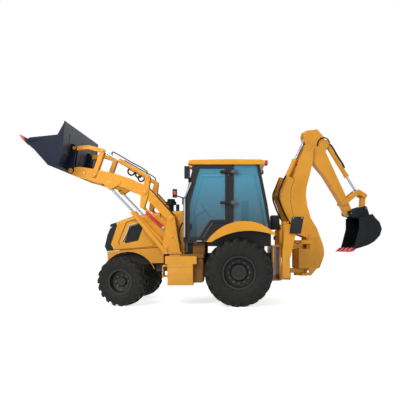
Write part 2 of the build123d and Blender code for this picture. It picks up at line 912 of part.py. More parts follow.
def twin_plates(ends, reach, pins, stub_pins=()):
    """Plates on both faces of each arm, with through pins and short pins at the open eyes."""
    with BuildPart() as twins:
        for side in (-1, 1):
            for face in (-1, 1):
                near = side * (arm_y + face * (arm_half + side_gap))
                far = side * (arm_y + face * (arm_half + side_gap + reach))
                link(ends, near, far)
            for at in pins:
                span = arm_half + side_gap + reach
                cross_pin(at, pin_radius, side * (arm_y - span), side * (arm_y + span))
            for at, inner_gap in stub_pins:
                for face in (-1, 1):
                    near = side * (arm_y + face * inner_gap)
                    far = side * (arm_y + face * (arm_half + side_gap + reach))
                    cross_pin(at, pin_radius, near, far)
    return twins.part


# Bellcranks at the elbows
bellcrank = twin_plates(
    [(*bellcrank_top, 46), (-1300, 2230, 72), (*bellcrank_foot, 46)],
    plate_thickness,
    [elbow_pin, bellcrank_top],
    [(bellcrank_foot, tie_eye_half + stub_gap)],
)
save(bellcrank, "bellcranks")

# Guide levers and bucket links
lever = twin_plates(
    [(*lever_pivot, 44), (*lever_top, 44)],
    plate_thickness,
    [lever_pivot],
    [(lever_top, tilt_eye_half + stub_gap)],
)
save(lever, "guide_levers")
link_half = 42
link_plate = 12
with BuildPart() as links:
    for side in (-1, 1):
        for face in (-1, 1):
            near = side * (arm_y + face * (link_half - link_plate))
            far = side * (arm_y + face * link_half)
            link([(*lever_top, 42), (-2440, 3168, 38)], near, far)
            link([(-2440, 3168, 38), (*bucket_ear, 38)], near, far)
            cross_pin(lever_top, pin_radius + running_gap, near, far, Mode.SUBTRACT)
        cross_pin((-2500, 3165), 26, side * (arm_y - link_half), side * (arm_y + link_half))
save(links.part, "bucket_links")

# Tie rods between the towers and the bellcranks
with BuildPart() as ties:
    for side in (-1, 1):
        span = tie_eye_half
        link(
            [(*tie_base, 36), (*bellcrank_foot, 30)],
            side * (arm_y - 16),
            side * (arm_y + 16),
        )
        for at in (tie_base, bellcrank_foot):
            cross_pin(at, 42, side * (arm_y - span), side * (arm_y + span))
            cross_pin(
                at, pin_radius + running_gap, side * (arm_y - span), side * (arm_y + span), Mode.SUBTRACT
            )
save(ties.part, "tie_rods")

# Lift cylinders below the arms and tilt cylinders above them
lift_length = gap(lift_base, lift_eye)
tilt_length = gap(bellcrank_top, lever_top)
lift_barrel_length = 960
tilt_barrel_length = 680
ram_pairs = (
    ("lift", lift_base, lift_eye, lift_barrel_length, 50, 28, 46, 850, 270, lift_eye_half),
    ("tilt", bellcrank_top, lever_top, tilt_barrel_length, 42, 24, 40, 630, 590, tilt_eye_half),
)
for name, base, eye, length, radius, rod_radius, eye_radius, depth, inside, half in ram_pairs:
    with BuildPart() as barrels:
        for side in (-1, 1):
            bore = pin_radius + running_gap
            barrel(base, eye, side * arm_y, radius, length, eye_radius, bore, half)
            barrel_bore(base, eye, side * arm_y, rod_radius, length, depth)
    save(barrels.part, f"{name}_barrels")
    with BuildPart() as rods:
        for side in (-1, 1):
            ram_rod(base, eye, side * arm_y, rod_radius, length - inside, eye_radius - 2, tilt_eye_half)
    save(rods.part, f"{name}_rods")

# Loader bucket: side plates, a bent shell, cutting edge, teeth and the ears that hold it
bucket_side = [
    (-3407, 3126),
    (-3047, 2717),
    (-2868, 2646),
    (-2763, 2968),
    (-2719, 3557),
    (-2861, 3300),
]
shell_run = [(-3407, 3126), (-3047, 2717), (-2942, 2675), (-2895, 2720), (-2790, 2968), (-2719, 3557)]
tooth_count = 8
with BuildPart() as bucket:
    half = loader_bucket_width / 2
    plate(
        [
            *shell_run,
            (-2735, 3557),
            (-2806, 2972),
            (-2909, 2730),
            (-2948, 2692),
            (-3038, 2729),
            (-3396, 3135),
        ],
        -half,
        half,
    )
    for side in (-1, 1):
        plate(bucket_side, side * half, side * (half - bucket_wall))
        plate(
            [(-3420, 3112), (-3445, 3160), (-3380, 3160), (-3330, 3030)],
            side * half,
            side * (half - 22),
        )
        for face in (-1, 1):
            near = side * (arm_y + face * (arm_half + side_gap))
            far = side * (arm_y + face * (arm_half + side_gap + plate_thickness))
            link(
                [(*bucket_pin, 58), (-2860, 2740, 40), (-2775, 3000, 60), (*bucket_ear, 44), (-2745, 3180, 44)],
                near,
                far,
            )
            cross_pin(bucket_ear, pin_radius, side * (arm_y + face * (link_half + stub_gap)), far)
        span = arm_half + side_gap + plate_thickness
        cross_pin(bucket_pin, pin_radius, side * (arm_y - span), side * (arm_y + span))
    plate([(-3500, 3220), (-3395, 3102), (-3375, 3120), (-3480, 3240)], -half, half)
    for index in range(tooth_count):
        y = -half + 60 + index * (loader_bucket_width - 120) / (tooth_count - 1)
        plate(
            [(-3600, 3306), (-3560, 3240), (-3440, 3110), (-3405, 3150), (-3470, 3240), (-3560, 3290)],
            y - 32,
            y + 32,
        )
save(bucket.part, "loader_bucket")

# Hoe frame behind the chassis: a box with kingpost lugs and brackets for the stabilizers
frame_x = (1262, 1425)
frame_half = 720
frame_z = (480, 1180)
kingpost_radius = 40
lug_radius = 120
lower_lug_z = (600, 690)
upper_lug_z = (1115, 1205)
bracket_x = ((1418, 1434), (1590, 1606))
leg_plate_x = (1440, 1584)
with BuildPart() as hoe_frame:
    block((frame_x[0], -frame_half, frame_z[0]), (frame_x[0] + 22, frame_half, frame_z[1]))
    block((frame_x[1] - 22, -frame_half, frame_z[0]), (frame_x[1], frame_half, frame_z[1]))
    block((frame_x[0], -frame_half, frame_z[1] - 22), (frame_x[1], frame_half, frame_z[1]))
    block((frame_x[0], -frame_half, frame_z[0]), (frame_x[1], frame_half, frame_z[0] + 22))
    for z_low, z_high in (lower_lug_z, upper_lug_z):
        with BuildSketch(Plane.XY.offset(z_low)) as lug:
            with Locations((swing_x, 0)):
                Circle(lug_radius)
            with Locations((frame_x[1] + 20, 0)):
                Rectangle(60, 250)
            make_hull()
        extrude(lug.sketch, amount=z_high - z_low)
        with Locations((swing_x, 0, (z_low + z_high) / 2)):
            Cylinder(kingpost_radius + running_gap, z_high - z_low, mode=Mode.SUBTRACT)
    for side in (-1, 1):
        for x_low, x_high in bracket_x:
            profile_plane = Plane.YZ.offset(x_low)
            with BuildSketch(profile_plane) as ear:
                with BuildLine():
                    Polyline(
                        (side * 560, 500),
                        (side * 800, 500),
                        (side * 860, 545),
                        (side * 860, 660),
                        (side * 760, 720),
                        (side * 700, 1000),
                        (side * 560, 1000),
                        close=True,
                    )
                make_face()
            extrude(ear.sketch, amount=x_high - x_low)
        low_y, high_y = sorted((side * 560, side * 690))
        block((frame_x[1] - 5, low_y, 500), (1600, high_y, 530))
        rod((1418, side * leg_pivot_half, leg_pivot[1]), (1606, side * leg_pivot_half, leg_pivot[1]), 26)
        low_y, high_y = sorted((side * 575, side * 590))
        block((frame_x[1] - 10, low_y, 1100), (1560, high_y, 1120))
        for x_low, x_high in ((1440, 1458), (1566, 1584)):
            with BuildSketch(Plane.YZ.offset(x_low)) as post:
                with BuildLine():
                    Polyline(
                        (side * 560, 940),
                        (side * 690, 940),
                        (side * 690, 1640),
                        (side * 660, 1670),
                        (side * 600, 1670),
                        (side * 560, 1560),
                        close=True,
                    )
                make_face()
            extrude(post.sketch, amount=x_high - x_low)
        rod((1440, side * leg_ram_base_half, leg_ram_base_z), (1584, side * leg_ram_base_half, leg_ram_base_z), 20)
        low_y, high_y = sorted((side * 560, side * 578))
        block((frame_x[1] - 10, low_y, 940), (1560, high_y, 1500))
        block((frame_x[1] - 10, low_y, 1000), (frame_x[1] + 20, high_y, 1300))
save(hoe_frame.part, "hoe_frame")

# Stabilizer legs, folded up beside the frame, with their pads
leg_outline = [
    (1440, 545),
    (1583, 545),
    (1583, 900),
    (1700, 1400),
    (1730, 1500),
    (1730, 1600),
    (1500, 1600),
    (1440, 1100),
]
pad_outline = [(1623, 1743), (1851, 1743), (1792, 1413), (1572, 1421)]
leg_inner = 770
leg_outer = 890
leg_ram_x = (leg_plate_x[0] + leg_plate_x[1]) / 2
for word, side in sides:
    with BuildPart() as leg:
        with BuildSketch(Plane.YZ.offset(leg_plate_x[0])) as front_web:
            with BuildLine():
                Polyline(
                    (side * 830, 545),
                    (side * 770, 560),
                    (side * 750, 600),
                    (side * 750, 940),
                    (side * leg_inner, 1000),
                    (side * leg_inner, 1100),
                    (side * leg_outer, 1100),
                    (side * leg_outer, 560),
                    close=True,
                )
            make_face()
        extrude(front_web.sketch, amount=16)
        with BuildSketch(Plane.YZ.offset(leg_plate_x[1] - 16)) as rear_web:
            with BuildLine():
                Polyline(
                    (side * 830, 545),
                    (side * 770, 560),
                    (side * 750, 600),
                    (side * 750, 940),
                    (side * leg_inner, 1000),
                    (side * leg_inner, 1100),
                    (side * leg_outer, 1100),
                    (side * leg_outer, 560),
                    close=True,
                )
            make_face()
        extrude(rear_web.sketch, amount=16)
        plate(leg_outline, side * (leg_outer - 16), side * leg_outer)
        plate(
            [(1458, 1250), (1660, 1250), (1730, 1500), (1730, 1600), (1500, 1600)],
            side * (leg_inner + 12),
            side * (leg_outer - 15),
        )
        plate(pad_outline, side * (leg_outer + 14), side * (leg_outer + 34))
        plate(
            [(1640, 1700), (1800, 1700), (1770, 1450), (1610, 1450)],
            side * (leg_outer + 33),
            side * (leg_outer + 90),
        )
        plate([(1620, 1480), (1720, 1480), (1725, 1590), (1640, 1590)], side * (leg_outer - 1), side * (leg_outer + 15))
        for x_low, x_high in ((leg_plate_x[0] - 1, leg_plate_x[0] + 17), (leg_plate_x[1] - 17, leg_plate_x[1] + 1)):
            rod(
                (x_low, side * leg_pivot_half, leg_pivot[1]),
                (x_high, side * leg_pivot_half, leg_pivot[1]),
                26 + running_gap,
                Mode.SUBTRACT,
            )
        for web_x, eye_x in (
            (leg_plate_x[0], leg_ram_x - leg_eye_half - stub_gap),
            (leg_plate_x[1], leg_ram_x + leg_eye_half + stub_gap),
        ):
            rod(
                (min(web_x, eye_x), side * leg_pivot_half, leg_pivot[1] + leg_ram_arm),
                (max(web_x, eye_x), side * leg_pivot_half, leg_pivot[1] + leg_ram_arm),
                20,
            )
    save(leg.part, f"stabilizer_leg_{word}")

leg_ram_barrel = 585
leg_ram_inside = 515
for word, side in sides:
    top = (leg_ram_x, side * leg_ram_base_half, leg_ram_base_z)
    eye = (leg_ram_x, side * leg_pivot_half, leg_pivot[1] + leg_ram_arm)
    run = Vector(*eye) - Vector(*top)
    ram_length = run.length
    run = run.normalized()
    with BuildPart() as leg_barrel:
        rod((leg_ram_x - 30, top[1], top[2]), (leg_ram_x + 30, top[1], top[2]), 40)
        mouth = Vector(*top) + run * leg_ram_barrel
        rod(tuple(Vector(*top) + run * 28), tuple(mouth), 40)
        rod((leg_ram_x - 30, top[1], top[2]), (leg_ram_x + 30, top[1], top[2]), 20 + running_gap, Mode.SUBTRACT)
        rod(tuple(mouth), tuple(Vector(*top) + run * 60), 22 + running_gap, Mode.SUBTRACT)
    save(leg_barrel.part, f"stabilizer_barrel_{word}")
    with BuildPart() as leg_rod:
        rod(tuple(Vector(*top) + run * (leg_ram_barrel - leg_ram_inside)), tuple(Vector(*eye) - run * 26), 22)
        low_x, high_x = leg_ram_x - leg_eye_half, leg_ram_x + leg_eye_half
        rod((low_x, eye[1], eye[2]), (high_x, eye[1], eye[2]), 36)
        rod((low_x, eye[1], eye[2]), (high_x, eye[1], eye[2]), 20 + running_gap, Mode.SUBTRACT)
    save(leg_rod.part, f"stabilizer_rod_{word}")

# The hoe's pieces are drawn with x as the distance behind the swing pin, then turned about it
hoe_place = Location((swing_x, 0, 0), (0, 0, swing_angle))


def save_hoe(piece, name):
    save(hoe_place * piece, name)


cheek_inner = 150
cheek_outer = 186
boom_pin_radius = 45
dipper_pin_radius = 36
cheek_outline = [
    (-60, 700),
    (150, 700),
    (190, 640),
    (190, 545),
    (225, 545),
    (339, 667),
    (440, 760),
    (425, 880),
    (330, 1000),
    (300, 1150),
    (300, 1340),
    (278, 1395),
    (182, 1395),
    (160, 1288),
    (0, 1288),
    (0, 1212),
    (192, 1212),
    (192, 1108),
    (130, 1105),
    (-60, 1105),
]
with BuildPart() as post:
    rod((0, 0, 540), (0, 0, 1290), kingpost_radius)
    for z_low, z_high, reach in ((540, 595, 225), (1210, 1290, 98)):
        rod((0, 0, z_low), (0, 0, z_high), 92)
        block((0, -cheek_outer, z_low), (reach, cheek_outer, z_high))
    rod((0, 0, 695), (0, 0, 1110), 100)
    block((0, -cheek_inner - 5, 695), (115, cheek_inner + 5, 1105))
    for side in (-1, 1):
        plate(cheek_outline, side * cheek_inner, side * cheek_outer)
    cross_pin(boom_foot, boom_pin_radius, -cheek_outer, cheek_outer)
    for side in (-1, 1):
        link([(70, 1035, 50), (160, 1070, 40)], side * 66, side * 92)
        link([(160, 1070, 40), (*boom_ram_base, 48)], side * 66, side * 92)
    cross_pin(boom_ram_base, 28, -92, 92)
save_hoe(post.part, "swing_post")

boom_outline = [
    (285, 700),
    (436, 690),
    (533, 934),
    (542, 1040),
    (524, 1171),
    (374, 1543),
    (234, 1753),
    (147, 2036),
    (121, 2238),
    (138, 2416),
    (201, 2639),
    (272, 2916),
    (300, 3264),
    (211, 3354),
    (120, 3310),
    (-42, 2979),
    (-164, 2553),
    (-190, 2600),
    (-350, 2640),
    (-520, 2231),
    (-330, 1750),
    (-140, 1440),
    (140, 1345),
    (150, 1000),
    (240, 760),
]
boom_outer_half = boom_inner_half + boom_plate
with BuildPart() as boom:
    for side in (-1, 1):
        plate(boom_outline, side * boom_inner_half, side * boom_outer_half)
    cross_pin(boom_foot, 100, -boom_outer_half, boom_outer_half)
    plate(
        [(524, 1171), (374, 1543), (350, 1533), (500, 1163)], -boom_inner_half - 5, boom_inner_half + 5
    )
    plate(
        [(155, 2450), (255, 2860), (60, 2900), (-42, 2880), (-110, 2640), (-100, 2500)],
        -boom_inner_half - 5,
        boom_inner_half + 5,
    )
    cross_pin(boom_foot, boom_pin_radius + running_gap, -boom_outer_half, boom_outer_half, Mode.SUBTRACT)
    cross_pin(crowd_base, 28, -boom_outer_half, boom_outer_half)
    eye_stubs(boom_ram_eye, 28, hoe_eye_half, boom_outer_half)
    cross_pin(boom_head, dipper_pin_radius, -boom_outer_half, boom_outer_half)
save_hoe(boom.part, "boom")

dipper_outline = [
    (89, 3500),
    (120, 3600),
    (190, 3626),
    (300, 3640),
    (405, 3663),
    (570, 3501),
    (601, 3197),
    (914, 2585),
    (1083, 2258),
    (1216, 1973),
    (1225, 1880),
    (1160, 1807),
    (1100, 1850),
    (1010, 2047),
    (592, 2662),
    (300, 2983),
    (170, 3180),
]
with BuildPart() as dipper:
    plate(dipper_outline, -dipper_half, dipper_half)
    plate(
        [
            (-40, 3150),
            (-40, 3720),
            (336, 3720),
            (336, 3440),
            (290, 3378),
            (190, 3378),
            (160, 3345),
            (128, 3300),
            (112, 3150),
        ],
        -dipper_half + 24,
        dipper_half - 24,
        Mode.SUBTRACT,
    )
    cross_pin(boom_head, 92, -dipper_half, dipper_half)
    eye_stubs(crowd_eye, 28, hoe_eye_half, dipper_half)
    for side in (-1, 1):
        link([(520, 3400, 60), (*curl_base, 48), (560, 3240, 60)], side * 56, side * 80)
    cross_pin(curl_base, 26, -80, 80)
    for at, radius in ((boom_head, dipper_pin_radius), (rocker_pivot, 28), (hoe_bucket_pin, 32)):
        cross_pin(at, radius + running_gap, -dipper_half, dipper_half, Mode.SUBTRACT)
save_hoe(dipper.part, "dipper")

ear_plate = 26
rocker_inner = dipper_half + side_gap
bucket_ear_inner = rocker_inner + ear_plate + side_gap
with BuildPart() as rocker:
    for side in (-1, 1):
        link(
            [(*rocker_pivot, 48), (*curl_eye, 46)],
            side * rocker_inner,
            side * (rocker_inner + ear_plate),
        )
        link(
            [(*curl_eye, 46), (*rocker_end, 46)],
            side * rocker_inner,
            side * (rocker_inner + ear_plate),
        )
    span = rocker_inner + ear_plate
    cross_pin(rocker_pivot, 28, -span, span)
    cross_pin(rocker_end, 28, -span, span)
    eye_stubs(curl_eye, 28, hoe_eye_half, span)
save_hoe(rocker.part, "tipping_lever")

with BuildPart() as hoe_link:
    link([(*rocker_end, 44), (*hoe_ear, 44)], -hoe_link_half, hoe_link_half)
    for at, radius in ((rocker_end, 28), (hoe_ear, 30)):
        cross_pin(at, radius + running_gap, -hoe_link_half, hoe_link_half, Mode.SUBTRACT)
save_hoe(hoe_link.part, "hoe_link")

hoe_side = [
    (1291, 1770),
    (1291, 1537),
    (1195, 1198),
    (1159, 1090),
    (1363, 1143),
    (1509, 1187),
    (1656, 1264),
    (1791, 1396),
    (1834, 1540),
    (1779, 1683),
    (1668, 1782),
    (1607, 1858),
    (1472, 1900),
    (1300, 1880),
]
hoe_shell = [
    (1159, 1090),
    (1363, 1143),
    (1509, 1187),
    (1656, 1264),
    (1791, 1396),
    (1834, 1540),
    (1779, 1683),
    (1668, 1782),
    (1320, 1790),
    (1320, 1774),
    (1660, 1767),
    (1766, 1674),
    (1819, 1540),
    (1779, 1404),
    (1648, 1277),
    (1503, 1201),
    (1359, 1157),
    (1155, 1104),
]
hoe_teeth = 4
with BuildPart() as hoe_bucket:
    half = hoe_bucket_width / 2
    for side in (-1, 1):
        plate(hoe_side[:12], side * half, side * (half - hoe_bucket_wall))
    plate(hoe_shell, -half, half)
    for side in (-1, 1):
        near = side * bucket_ear_inner
        far = side * (bucket_ear_inner + ear_plate)
        link([(*hoe_bucket_pin, 60), (1380, 1790, 40), (*hoe_ear, 52), (1620, 1790, 24)], near, far)
    span = bucket_ear_inner + ear_plate
    cross_pin(hoe_bucket_pin, 32, -span, span)
    eye_stubs(hoe_ear, 30, hoe_link_half, span)
    for index in range(hoe_teeth):
        h = -half + 45 + index * (hoe_bucket_width - 90) / (hoe_teeth - 1)
        plate(
            [(1031, 1046), (1163, 1072), (1200, 1095), (1192, 1118), (1130, 1110)],
            h - 30,
            h + 30,
        )
save_hoe(hoe_bucket.part, "hoe_bucket")

# The hoe's cylinders: boom, crowd and curl
hoe_rams = (
    ("boom", boom_ram_base, boom_ram_eye, 680, 60, 34, 62, 60, 590, 530),
    ("crowd", crowd_base, crowd_eye, 850, 57, 32, 62, 60, 700, 200),
    ("curl", curl_base, curl_eye, 880, 48, 28, 54, 50, 825, 537),
)
for name, base, eye, length, radius, rod_radius, eye_radius, half, depth, inside in hoe_rams:
    pin = 26 if name == "curl" else 28
    with BuildPart() as ram:
        barrel(base, eye, 0, radius, length, eye_radius, pin + running_gap, half)
        barrel_bore(base, eye, 0, rod_radius, length, depth)
    save_hoe(ram.part, f"{name}_barrel")
    with BuildPart() as ram:
        ram_rod(base, eye, 0, rod_radius, length - inside, eye_radius - 6, hoe_eye_half)
        cross_pin(eye, 28 + running_gap, -hoe_eye_half, hoe_eye_half, Mode.SUBTRACT)
    save_hoe(ram.part, f"{name}_rod")
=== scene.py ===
import math
import bpy
from mathutils import Matrix, Vector


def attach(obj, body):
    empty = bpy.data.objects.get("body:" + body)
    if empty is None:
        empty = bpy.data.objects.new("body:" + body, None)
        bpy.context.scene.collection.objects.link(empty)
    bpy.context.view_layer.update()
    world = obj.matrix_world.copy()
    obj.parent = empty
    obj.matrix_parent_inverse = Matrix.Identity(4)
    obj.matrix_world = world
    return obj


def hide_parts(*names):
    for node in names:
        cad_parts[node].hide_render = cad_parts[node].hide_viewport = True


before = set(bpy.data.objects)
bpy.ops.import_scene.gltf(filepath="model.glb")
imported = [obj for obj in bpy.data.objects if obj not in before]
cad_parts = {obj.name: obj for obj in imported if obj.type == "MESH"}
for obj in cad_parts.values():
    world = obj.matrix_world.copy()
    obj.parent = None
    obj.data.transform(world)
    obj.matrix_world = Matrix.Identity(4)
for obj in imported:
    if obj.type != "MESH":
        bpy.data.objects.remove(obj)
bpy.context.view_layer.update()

print("frame loaded")

# The part was drawn in millimetres with its bucket pins set out from the rear axle, then moved back a little
layout = {
    "shift": -0.057,
    "swingX": 1863.0,
    "swingAngle": 15.0,
    "armY": 530,
}
sideWords = ((-1, "Left"), (1, "Right"))


def at(x, y, z):
    return Vector((x / 1000 + layout["shift"], y / 1000, z / 1000))


def hoeAt(r, h, z):
    # r runs behind the swing pin, h across the hoe
    turn = math.radians(layout["swingAngle"])
    x = layout["swingX"] + r * math.cos(turn) - h * math.sin(turn)
    y = r * math.sin(turn) + h * math.cos(turn)
    return at(x, y, z)


def linear(hexCode):
    # sRGB hex to the linear values that the shader takes
    values = []
    for start in (0, 2, 4):
        c = int(hexCode.lstrip("#")[start:start + 2], 16) / 255
        values.append(c / 12.92 if c <= 0.04045 else ((c + 0.055) / 1.055) ** 2.4)
    return (*values, 1.0)


def addNode(tree, kind, settings=None, links=None):
    node = tree.nodes.new(kind)
    for key, value in (settings or {}).items():
        if key in node.inputs and not hasattr(node, key):
            node.inputs[key].default_value = value
        else:
            setattr(node, key, value)
    for key, source in (links or {}).items():
        tree.links.new(source, node.inputs[key])
    return node


def newMaterial(name):
    material = bpy.data.materials.new(name)
    material.use_nodes = True
    tree = material.node_tree
    tree.nodes.clear()
    output = addNode(tree, "ShaderNodeOutputMaterial")
    shader = addNode(tree, "ShaderNodeBsdfPrincipled")
    tree.links.new(shader.outputs["BSDF"], output.inputs["Surface"])
    place = addNode(tree, "ShaderNodeTexCoord").outputs["Object"]
    return material, tree, shader, place


def noiseAt(tree, place, sizeMm, detail=3.0):
    # one speck of the pattern is about sizeMm across
    return addNode(tree, "ShaderNodeTexNoise", {"Scale": 1000 / sizeMm, "Detail": detail}, {"Vector": place})


def rampOf(tree, source, stops):
    ramp = addNode(tree, "ShaderNodeValToRGB", None, {"Fac": source})
    elements = ramp.color_ramp.elements
    while len(elements) < len(stops):
        elements.new(0.5)
    for element, (position, colour) in zip(elements, stops):
        element.position = position
        element.color = colour if len(colour) == 4 else (*colour, 1.0)
    return ramp


def colourFrom(tree, shader, ramp):
    tree.links.new(ramp.outputs["Color"], shader.inputs["Base Color"])


def setInputs(shader, values):
    for key, value in values.items():
        shader.inputs[key].default_value = value


def grey(value):
    return (value, value, value, 1.0)


def bumpFrom(tree, shader, height, depthMm, strength=0.5):
    bump = addNode(tree, "ShaderNodeBump", {"Strength": strength, "Distance": depthMm / 1000},
                   {"Height": height})
    tree.links.new(bump.outputs["Normal"], shader.inputs["Normal"])


def sprayedPaint(name, colour, shade, dust, roughness, dustTop, coat):
    # Sprayed enamel on steel plate: an even gloss, faint mottling, and road dust that thickens downwards
    material, tree, shader, place = newMaterial(name)
    mottle = noiseAt(tree, place, 350, 4)
    base = rampOf(tree, mottle.outputs["Fac"], [(0.3, linear(shade)), (0.7, linear(colour))])
    height = addNode(tree, "ShaderNodeSeparateXYZ", None, {"Vector": place})
    low = addNode(tree, "ShaderNodeMapRange",
                  {"From Min": 0.2, "From Max": dustTop, "To Min": 0.55, "To Max": 0.0},
                  {"Value": height.outputs["Z"]})
    cloud = noiseAt(tree, place, 90, 6)
    amount = addNode(tree, "ShaderNodeMath", {"operation": "MULTIPLY"},
                     {0: low.outputs["Result"], 1: cloud.outputs["Fac"]})
    mixed = addNode(tree, "ShaderNodeMix", {"data_type": "RGBA"}, {"Factor": amount.outputs[0]})
    tree.links.new(base.outputs["Color"], mixed.inputs[6])
    mixed.inputs[7].default_value = linear(dust)
    tree.links.new(mixed.outputs[2], shader.inputs["Base Color"])
    gloss = addNode(tree, "ShaderNodeMapRange", {"To Min": roughness - 0.06, "To Max": roughness + 0.12},
                    {"Value": cloud.outputs["Fac"]})
    tree.links.new(gloss.outputs["Result"], shader.inputs["Roughness"])
    setInputs(shader, {"Specular IOR Level": 0.28, "Coat Weight": coat, "Coat Roughness": 0.2})
    orangePeel = noiseAt(tree, place, 6, 2)
    bumpFrom(tree, shader, orangePeel.outputs["Fac"], 0.25, 0.25)
    return material


def wornPaint(name, colour, scrape, roughness, metal):
    # Bucket paint rubbed by earth: long scrapes show the primer and steel through it
    material, tree, shader, place = newMaterial(name)
    stretched = addNode(tree, "ShaderNodeMapping", {"Scale": (1.0, 9.0, 1.6)}, {"Vector": place})
    scratches = noiseAt(tree, stretched.outputs["Vector"], 60, 8)
    patches = noiseAt(tree, place, 240, 5)
    both = addNode(tree, "ShaderNodeMath", {"operation": "MULTIPLY"},
                   {0: scratches.outputs["Fac"], 1: patches.outputs["Fac"]})
    base = rampOf(tree, both.outputs[0], [(0.28, linear(colour)), (0.46, linear(scrape))])
    colourFrom(tree, shader, base)
    rough = addNode(tree, "ShaderNodeMapRange", {"To Min": roughness - 0.1, "To Max": roughness + 0.15},
                    {"Value": scratches.outputs["Fac"]})
    tree.links.new(rough.outputs["Result"], shader.inputs["Roughness"])
    setInputs(shader, {"Metallic": metal, "Specular IOR Level": 0.16})
    bumpFrom(tree, shader, scratches.outputs["Fac"], 0.6, 0.4)
    return material


def dustyRubber(name, colour, dust, amountTop, grainMm):
    # Carbon-black rubber with a fine moulded grain; pale dust lies in its hollows
    material, tree, shader, place = newMaterial(name)
    cloud = noiseAt(tree, place, 70, 8)
    mask = rampOf(tree, cloud.outputs["Fac"], [(0.35, grey(0.0)), (0.75, grey(amountTop))])
    mixed = addNode(tree, "ShaderNodeMix", {"data_type": "RGBA"}, {"Factor": mask.outputs["Color"]})
    mixed.inputs[6].default_value = linear(colour)
    mixed.inputs[7].default_value = linear(dust)
    tree.links.new(mixed.outputs[2], shader.inputs["Base Color"])
    setInputs(shader, {"Roughness": 0.66, "Specular IOR Level": 0.22})
    grain = noiseAt(tree, place, grainMm, 3)
    bumpFrom(tree, shader, grain.outputs["Fac"], 0.5, 0.45)
    return material


def mouldedPlastic(name, colour, roughness, grainMm):
    # Textured black plastic, moulded against an etched tool: dull with small highlights
    material, tree, shader, place = newMaterial(name)
    cloud = noiseAt(tree, place, 120, 4)
    base = rampOf(tree, cloud.outputs["Fac"], [(0.3, linear(colour)), (0.8, linear(lighter(colour)))])
    colourFrom(tree, shader, base)
    setInputs(shader, {"Roughness": roughness, "Specular IOR Level": 0.2})
    grain = addNode(tree, "ShaderNodeTexVoronoi", {"Scale": 1000 / grainMm}, {"Vector": place})
    bumpFrom(tree, shader, grain.outputs["Distance"], 0.2, 0.3)
    return material


def lighter(hexCode, step=14):
    parts = [min(255, int(hexCode.lstrip("#")[i:i + 2], 16) + step) for i in (0, 2, 4)]
    return "#%02X%02X%02X" % tuple(parts)


def polishedRod(name, colour, roughness, lineMm):
    # Hard chrome, ground round the rod: mirror bright with very fine lines
    material, tree, shader, place = newMaterial(name)
    lines = noiseAt(tree, place, lineMm, 2)
    base = rampOf(tree, lines.outputs["Fac"], [(0.2, linear(colour)), (0.8, linear(lighter(colour, 18)))])
    colourFrom(tree, shader, base)
    setInputs(shader, {"Metallic": 1.0, "Roughness": roughness})
    bumpFrom(tree, shader, lines.outputs["Fac"], 0.05, 0.2)
    return material


# Heights in metres over which the glass's painted sky reflection fades down to its painted ground reflection
paintedSkyHeights = (1.3, 2.45)


def tintedGlass(name, tintAndPaintedSky, ground, see, roughness):
    # Toughened safety glass with a green-blue tint, drawn as a thin clear sheet; its colour darkens downwards
    # as a painted reflection, sky at the top and ground lower down
    material, tree, shader, place = newMaterial(name)
    dust = noiseAt(tree, place, 400, 4)
    haze = addNode(tree, "ShaderNodeMapRange", {"To Min": roughness, "To Max": roughness + 0.06},
                   {"Value": dust.outputs["Fac"]})
    tree.links.new(haze.outputs["Result"], shader.inputs["Roughness"])
    height = addNode(tree, "ShaderNodeSeparateXYZ", None, {"Vector": place})
    low, high = paintedSkyHeights
    rise = addNode(tree, "ShaderNodeMapRange", {"From Min": low, "From Max": high},
                   {"Value": height.outputs["Z"]})
    paintedSkyRamp = rampOf(tree, rise.outputs["Result"], [(0.0, linear(ground)), (1.0, linear(tintAndPaintedSky))])
    tree.links.new(paintedSkyRamp.outputs["Color"], shader.inputs["Base Color"])
    setInputs(shader, {"Alpha": see, "IOR": 1.5, "Specular IOR Level": 0.8})
    return material


def lampLens(name, colour, glow, roughness):
    # Injection-moulded acrylic lens with fine ribs that scatter the light
    material, tree, shader, place = newMaterial(name)
    ribs = addNode(tree, "ShaderNodeTexWave", {"Scale": 60.0, "bands_direction": "Z"}, {"Vector": place})
    base = rampOf(tree, ribs.outputs["Fac"], [(0.0, linear(colour)), (1.0, linear(lighter(colour, 20)))])
    colourFrom(tree, shader, base)
    setInputs(shader, {"Roughness": roughness, "Coat Weight": 0.6, "Emission Color": linear(colour),
                       "Emission Strength": glow})
    bumpFrom(tree, shader, ribs.outputs["Fac"], 1.0, 0.4)
    return material


def wovenFabric(name, colour, threadMm):
    # Flat-woven seat cloth: threads cross at right angles and catch a soft sheen
    material, tree, shader, place = newMaterial(name)
    warp = addNode(tree, "ShaderNodeTexWave", {"Scale": 1000 / threadMm / 6.283, "bands_direction": "X"},
                   {"Vector": place})
    weft = addNode(tree, "ShaderNodeTexWave", {"Scale": 1000 / threadMm / 6.283, "bands_direction": "Y"},
                   {"Vector": place})
    weave = addNode(tree, "ShaderNodeMath", {"operation": "MULTIPLY"},
                    {0: warp.outputs["Fac"], 1: weft.outputs["Fac"]})
    base = rampOf(tree, weave.outputs[0], [(0.0, linear(colour)), (1.0, linear(lighter(colour, 30)))])
    colourFrom(tree, shader, base)
    setInputs(shader, {"Roughness": 0.95, "Sheen Weight": 0.3})
    bumpFrom(tree, shader, weave.outputs[0], 0.8, 0.5)
    return material


